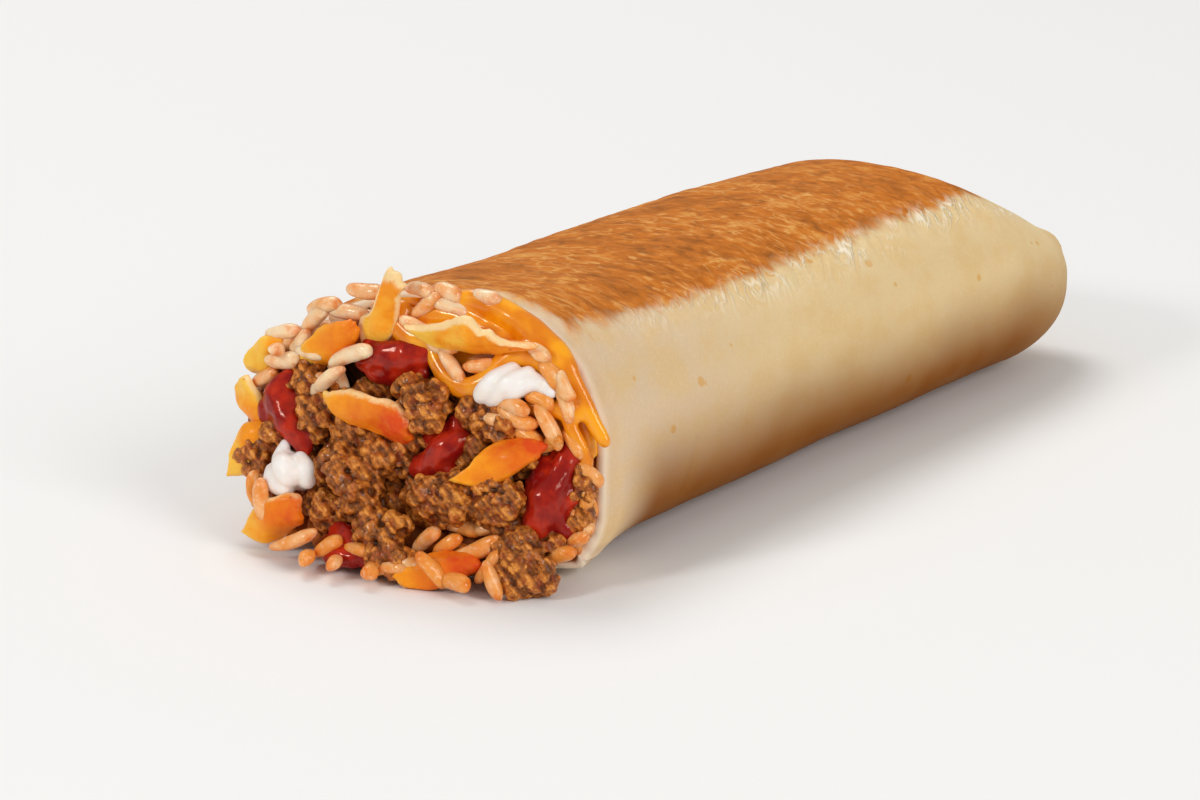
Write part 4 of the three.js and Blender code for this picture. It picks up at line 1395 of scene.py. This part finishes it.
# Outlines of the chips, in shares of half their length and half their width.
OUTLINES = {
    "wedge": [
        (-1, 0.15), (-0.75, 0.55), (-0.4, 0.85), (0.1, 0.95), (0.6, 0.9), (0.93, 0.45),
        (1, -0.35), (0.85, -1), (0.45, -0.8), (0.05, -0.55), (-0.4, -0.5), (-0.8, -0.2),
    ],
    "leaf": [
        (-1, -0.35), (-0.62, 0.1), (-0.4, 0.55), (-0.1, 0.9), (0.3, 1), (0.7, 0.75),
        (1, 0.35), (0.88, -0.2), (0.5, -0.7), (0, -1), (-0.5, -0.85),
    ],
    "wave": [
        (-1, 0.2), (-0.76, 0.3), (-0.31, 0.75), (-0.03, 1), (0.12, 0.9), (0.24, 0.46), (0.38, 0.4),
        (0.58, -0.1), (1, -0.15), (0.56, -0.6), (0.27, -0.88), (-0.1, -0.87), (-0.42, -0.5), (-0.76, -0.25),
    ],
    "spade": [
        (-1, 0), (-0.68, 0.55), (-0.3, 0.95), (0.35, 0.9), (1, 0.6), (0.95, 0),
        (0.84, -0.62), (0.4, -0.9), (-0.08, -1), (-0.58, -0.7),
    ],
    "slab": [
        (-1, 0), (-0.75, 0.7), (-0.3, 1), (0.3, 0.9), (0.85, 0.6),
        (1, 0.1), (0.7, -0.6), (0.2, -0.95), (-0.4, -1), (-0.85, -0.7),
    ],
    "strip": [
        (-1, -0.3), (-0.92, 0.5), (-0.6, 0.95), (-0.3, 0.6), (0, 0.5), (0.3, 0.5), (0.6, 0.62), (0.85, 0.8),
        (1, 0.3), (0.92, -0.4), (0.6, -0.5), (0.2, -0.8), (-0.2, -1), (-0.7, -0.85),
    ],
    "cornered": [
        (-1, 0.6), (-0.5, 0.95), (0.3, 0.8), (1, 0.95), (0.95, 0.1),
        (0.75, -0.8), (0.1, -0.95), (-0.6, -0.85), (-0.9, -0.1),
    ],
}

# Outline, middle, how far out, length and width, slope, swing and roll in degrees, curl, pale share and
# orange share.
CHIPS = {
    "centre": ("wedge", (-2.4, 20.5), 4.4, (14.4, 6.8), (-17, 1, 20), 0.3, 0.3, 0.7),
    "right": ("leaf", (18.1, 17.2), 4.2, (13.8, 5.3), (22, 19, -24), 0.34, 0.1, 0.7),
    "crest": ("wave", (11.1, 32.0), 4.2, (20.6, 6.8), (-2.4, 4, 30), 0.34, 0.6, 0.35),
    "shoulder": ("slab", (-10.8, 28.3), 2.8, (12.2, 5.1), (24, 14, 24), 0.36, 0.05, 0.45),
    "peak": ("strip", (-2.7, 34.2), 4.2, (13.6, 5.4), (50, 8, 14), 0.3, 1.0, 0.3),
    "corner": ("slab", (-22.4, 25.3), 1.6, (8.0, 4.4), (27, 6, 10), 0.4, 0.25, 0.0),
    "side": ("cornered", (-23.2, 18.6), 1.9, (8.4, 5.2), (-66, -10, 12), 0.3, 0.3, 0.35),
    "flank": ("leaf", (-22.7, 12.9), 2.6, (9.6, 5.2), (46, 4, -14), 0.34, 0.3, 0.25),
    "foot": ("spade", (-14.5, 4.9), 3.4, (11.4, 6.0), (20, 8, 12), 0.34, 0.3, 0.55),
    "bottom": ("leaf", (12.6, 3.2), 3.2, (12.5, 5.6), (14, 12, -38), 0.4, 0.2, 0.75),
}
CHIP_THICKNESS = 1.2
CHIP_ROUND = 112
CHIP_EDGE = 0.9


def chip_rows(outline, size, curl, seed):
    """Rows of points from the middle of a chip's one side, over its edge, to the middle of the other."""
    half_length, half_width = size[0] / 2, size[1] / 2
    ring = curve_through([*outline, outline[0]], CHIP_ROUND + 1)[:-1] * [half_length, half_width]
    around = even_turns(CHIP_ROUND)
    circle = xyz(np.cos(around), np.sin(around), 0 * around + seed)
    ring = ring * (1 + 0.05 * noise(circle, 0.34, 3) + 0.035 * noise(circle, 0.14, 4))[:, None]
    rows, rims = [], []
    shares = np.concatenate([np.linspace(0.04, 0.88, 14), [0.93, 0.97, 0.995]])
    sides = [(s, -1) for s in shares] + [(1.01, 0)] + [(s, 1) for s in reversed(shares)]
    for share, side in sides:
        x, z = ring.T * share
        bow = curl * half_width * (1.2 * (z / half_width) ** 2 + 0.8 * (x / half_length) ** 2)
        flat = xyz(x, 0 * x + seed * 10, z)
        ripple = 0.35 * np.sin(5 * x / half_length + seed) * z / half_width + 0.35 * noise(flat, 2.6, 5)
        near_rim = ramp(share, 0.62, 1.0) ** 2
        bubbles = 0.3 * near_rim * np.maximum(noise(flat, 1.1, 6), 0)
        bubbles = bubbles + 0.1 * np.maximum(noise(flat, 1.7, 8 + side), 0)
        rounded = math.sqrt(max(1 - (max(share - CHIP_EDGE, 0) / 0.105) ** 2, 0.1))
        y = bow + ripple + side * (CHIP_THICKNESS / 2 * rounded + bubbles)
        rows.append(xyz(x, y, z + 0.5 * np.sin(2.4 * x / half_length)))
        rims.append(np.full(CHIP_ROUND, near_rim))
    return np.array(rows), np.array(rims)


def build_chip(name):
    outline, at, out, size, turn, curl, pale, orange = CHIPS[name]
    rows, rims = chip_rows(OUTLINES[outline], size, curl, at[0])
    slope, swing, roll = (math.radians(a) for a in turn)
    matrix = np.array(Euler((roll, -slope, swing), "YZX").to_matrix())
    flat, faces = tube(rows)
    points = flat @ matrix.T + on_face(*at, out)
    points[:, 2] = np.maximum(points[:, 2], GROUND_GAP)
    item = new_object("curled_chip_" + name, points, faces)
    rim = with_ends(rims)
    upper = ramp(flat[:, 2] / size[1] - 0.5 * flat[:, 0] / size[0], -0.4, 0.5)
    on_rim = rim * (0.1 + 0.65 * pale + (0.25 + 0.7 * pale) * upper)
    paint(item, "pale", np.clip(on_rim + 0.5 * pale**2 * (0.3 + upper), 0, 1))
    paint(item, "tint", np.clip(orange + 0.8 * flat[:, 0] / size[0] - 0.15 * rim, 0, 1))
    return item


# ------------------------------------------------------------------ operators

# Name, place, target, size and share of the key light's power.
LIGHTS = [
    ("key", (-0.8, 0.55, 1.5), (0, 0, 0.01), 0.9, 1.0),
    ("front", (-0.5, -1.25, 0.75), (0, -0.05, 0.02), 0.35, 0.5),
    ("side", (1.35, -0.35, 0.75), (0, 0, 0.02), 0.8, 0.75),
]
FLOOR_REACH = 6.0
CAMERA_AT = (290.7, -382.3, 157.9)
CAMERA_TURN, CAMERA_RAISED = math.radians(34.49), math.radians(15.99)


def settle(item, material, slot, *nodes):
    """Gives a finished piece its material and ties it to the part."""
    item.data.materials.append(material)
    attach(item, "root")
    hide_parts(*nodes)


def serve(context, build, material, slot):
    """Builds a piece whose part node is named by slot."""
    item = build(context.scene.burrito_sizes)
    settle(item, material(context.scene.burrito_looks), slot, slot)
    return {"FINISHED"}


def serve_pools(pools, piece, slot, material, **pouring):
    """Builds a piece for every pool of a sauce."""
    for place, paths in pools.items():
        node = slot + "_" + place
        item = poured(piece + place, paths, VEINS[node], len(place), **pouring)
        settle(item, material, slot, node)
    return {"FINISHED"}


class BURRITO_OT_tortilla(bpy.types.Operator):
    """Build the rolled and griddled tortilla"""

    bl_idname = "burrito.tortilla"
    bl_label = "Tortilla"

    def execute(self, context):
        return serve(context, build_tortilla, tortilla_material, "tortilla")


class BURRITO_OT_beef(bpy.types.Operator):
    """Build the minced beef"""

    bl_idname = "burrito.beef"
    bl_label = "Minced beef"

    def execute(self, context):
        return serve(context, build_beef, beef_material, "beef")


class BURRITO_OT_rice(bpy.types.Operator):
    """Build the grains of rice round the beef"""

    bl_idname = "burrito.rice"
    bl_label = "Rice"

    def execute(self, context):
        return serve(context, build_rice, rice_material, "rice")


class BURRITO_OT_cheese(bpy.types.Operator):
    """Build the cheese sauce"""

    bl_idname = "burrito.cheese"
    bl_label = "Cheese sauce"

    def execute(self, context):
        return serve(context, build_cheese, cheese_material, "cheese_sauce")


class BURRITO_OT_red_sauce(bpy.types.Operator):
    """Build the pools of red sauce"""

    bl_idname = "burrito.red_sauce"
    bl_label = "Red sauce"

    def execute(self, context):
        material = red_sauce_material(context.scene.burrito_looks)
        return serve_pools(
            RED_SAUCES, "red_pool_", "red_sauce", material, voxel=0.3, smoothing=6, flatness=0.7, lumps=0.75
        )


class BURRITO_OT_cream(bpy.types.Operator):
    """Build the swirls of soured cream"""

    bl_idname = "burrito.cream"
    bl_label = "Soured cream"

    def execute(self, context):
        material = cream_material(context.scene.burrito_looks)
        return serve_pools(CREAM_SWIRLS, "cream_swirl_", "sour_cream", material, voxel=0.25, smoothing=2)


class BURRITO_OT_chips(bpy.types.Operator):
    """Build the curled corn chips"""

    bl_idname = "burrito.chips"
    bl_label = "Corn chips"

    def execute(self, context):
        material = chip_material(context.scene.burrito_looks)
        for name in CHIPS:
            settle(build_chip(name), material, "corn_chip", "chip_" + name)
        return {"FINISHED"}


def aim(item, at, way):
    """Puts a light or camera at a place, looking along a way."""
    item.location = at
    item.rotation_euler = way.to_track_quat("-Z", "Y").to_euler()


class BURRITO_OT_stage(bpy.types.Operator):
    """Build the floor, the lights and the camera"""

    bl_idname = "burrito.stage"
    bl_label = "Stage"

    def execute(self, context):
        scene = context.scene
        settings = scene.burrito_stage
        mesh = bpy.data.meshes.new("floor")
        corners = [(x * FLOOR_REACH, y * FLOOR_REACH, 0) for x, y in ((-1, -1), (1, -1), (1, 1), (-1, 1))]
        mesh.from_pydata(corners, [], [(0, 1, 2, 3)])
        floor = linked("floor", mesh)
        sockets = {"Base Color": opaque(settings.floor), "Roughness": 0.8}
        mesh.materials.append(Graph("pale_floor").surface(sockets))
        world = bpy.data.worlds.new("soft_light")
        world.use_nodes = True
        background = world.node_tree.nodes["Background"].inputs
        background["Color"].default_value = (1, 1, 1, 1)
        background["Strength"].default_value = settings.ambient
        scene.world = world
        scene.view_settings.view_transform = "Standard"
        for name, at, target, size, share in LIGHTS:
            light = bpy.data.lights.new(name, "AREA")
            light.shape = "DISK"
            light.size = size
            light.energy = settings.key * share
            aim(linked(name, light), at, Vector(target) - Vector(at))
        camera = bpy.data.cameras.new("camera")
        camera.sensor_width = 36
        camera.lens = settings.focal_length
        camera.clip_start, camera.clip_end = 0.01, 20
        scene.camera = linked("camera", camera)
        back = Vector((
            math.sin(CAMERA_TURN) * math.cos(CAMERA_RAISED),
            -math.cos(CAMERA_TURN) * math.cos(CAMERA_RAISED),
            math.sin(CAMERA_RAISED),
        ))
        aim(scene.camera, (Vector(CAMERA_AT) + Vector(SHIFT)) * MM, -back)
        return {"FINISHED"}


class BURRITO_PT_panel(bpy.types.Panel):
    """Lists the settings and the steps"""

    bl_idname = "BURRITO_PT_panel"
    bl_label = "Burrito"
    bl_space_type = "VIEW_3D"
    bl_region_type = "UI"
    bl_category = "Burrito"

    def draw(self, context):
        for group in GROUPS:
            box = self.layout.box()
            for name in group.__annotations__:
                box.prop(getattr(context.scene, GROUPS[group]), name)
        for operator in OPERATORS:
            self.layout.operator(operator.bl_idname)


GROUPS = {BurritoLooks: "burrito_looks", BurritoSizes: "burrito_sizes", BurritoStage: "burrito_stage"}
OPERATORS = (
    BURRITO_OT_stage,
    BURRITO_OT_tortilla,
    BURRITO_OT_beef,
    BURRITO_OT_rice,
    BURRITO_OT_cheese,
    BURRITO_OT_red_sauce,
    BURRITO_OT_cream,
    BURRITO_OT_chips,
)


def register():
    for item in (*GROUPS, *OPERATORS, BURRITO_PT_panel):
        bpy.utils.register_class(item)
    for group, name in GROUPS.items():
        setattr(bpy.types.Scene, name, bpy.props.PointerProperty(type=group))


def unregister():
    for name in GROUPS.values():
        delattr(bpy.types.Scene, name)
    for item in reversed((*GROUPS, *OPERATORS, BURRITO_PT_panel)):
        bpy.utils.unregister_class(item)


def main():
    register()
    for operator in OPERATORS:
        group, name = operator.bl_idname.split(".")
        getattr(getattr(bpy.ops, group), name)()


if __name__ == "__main__":
    main()
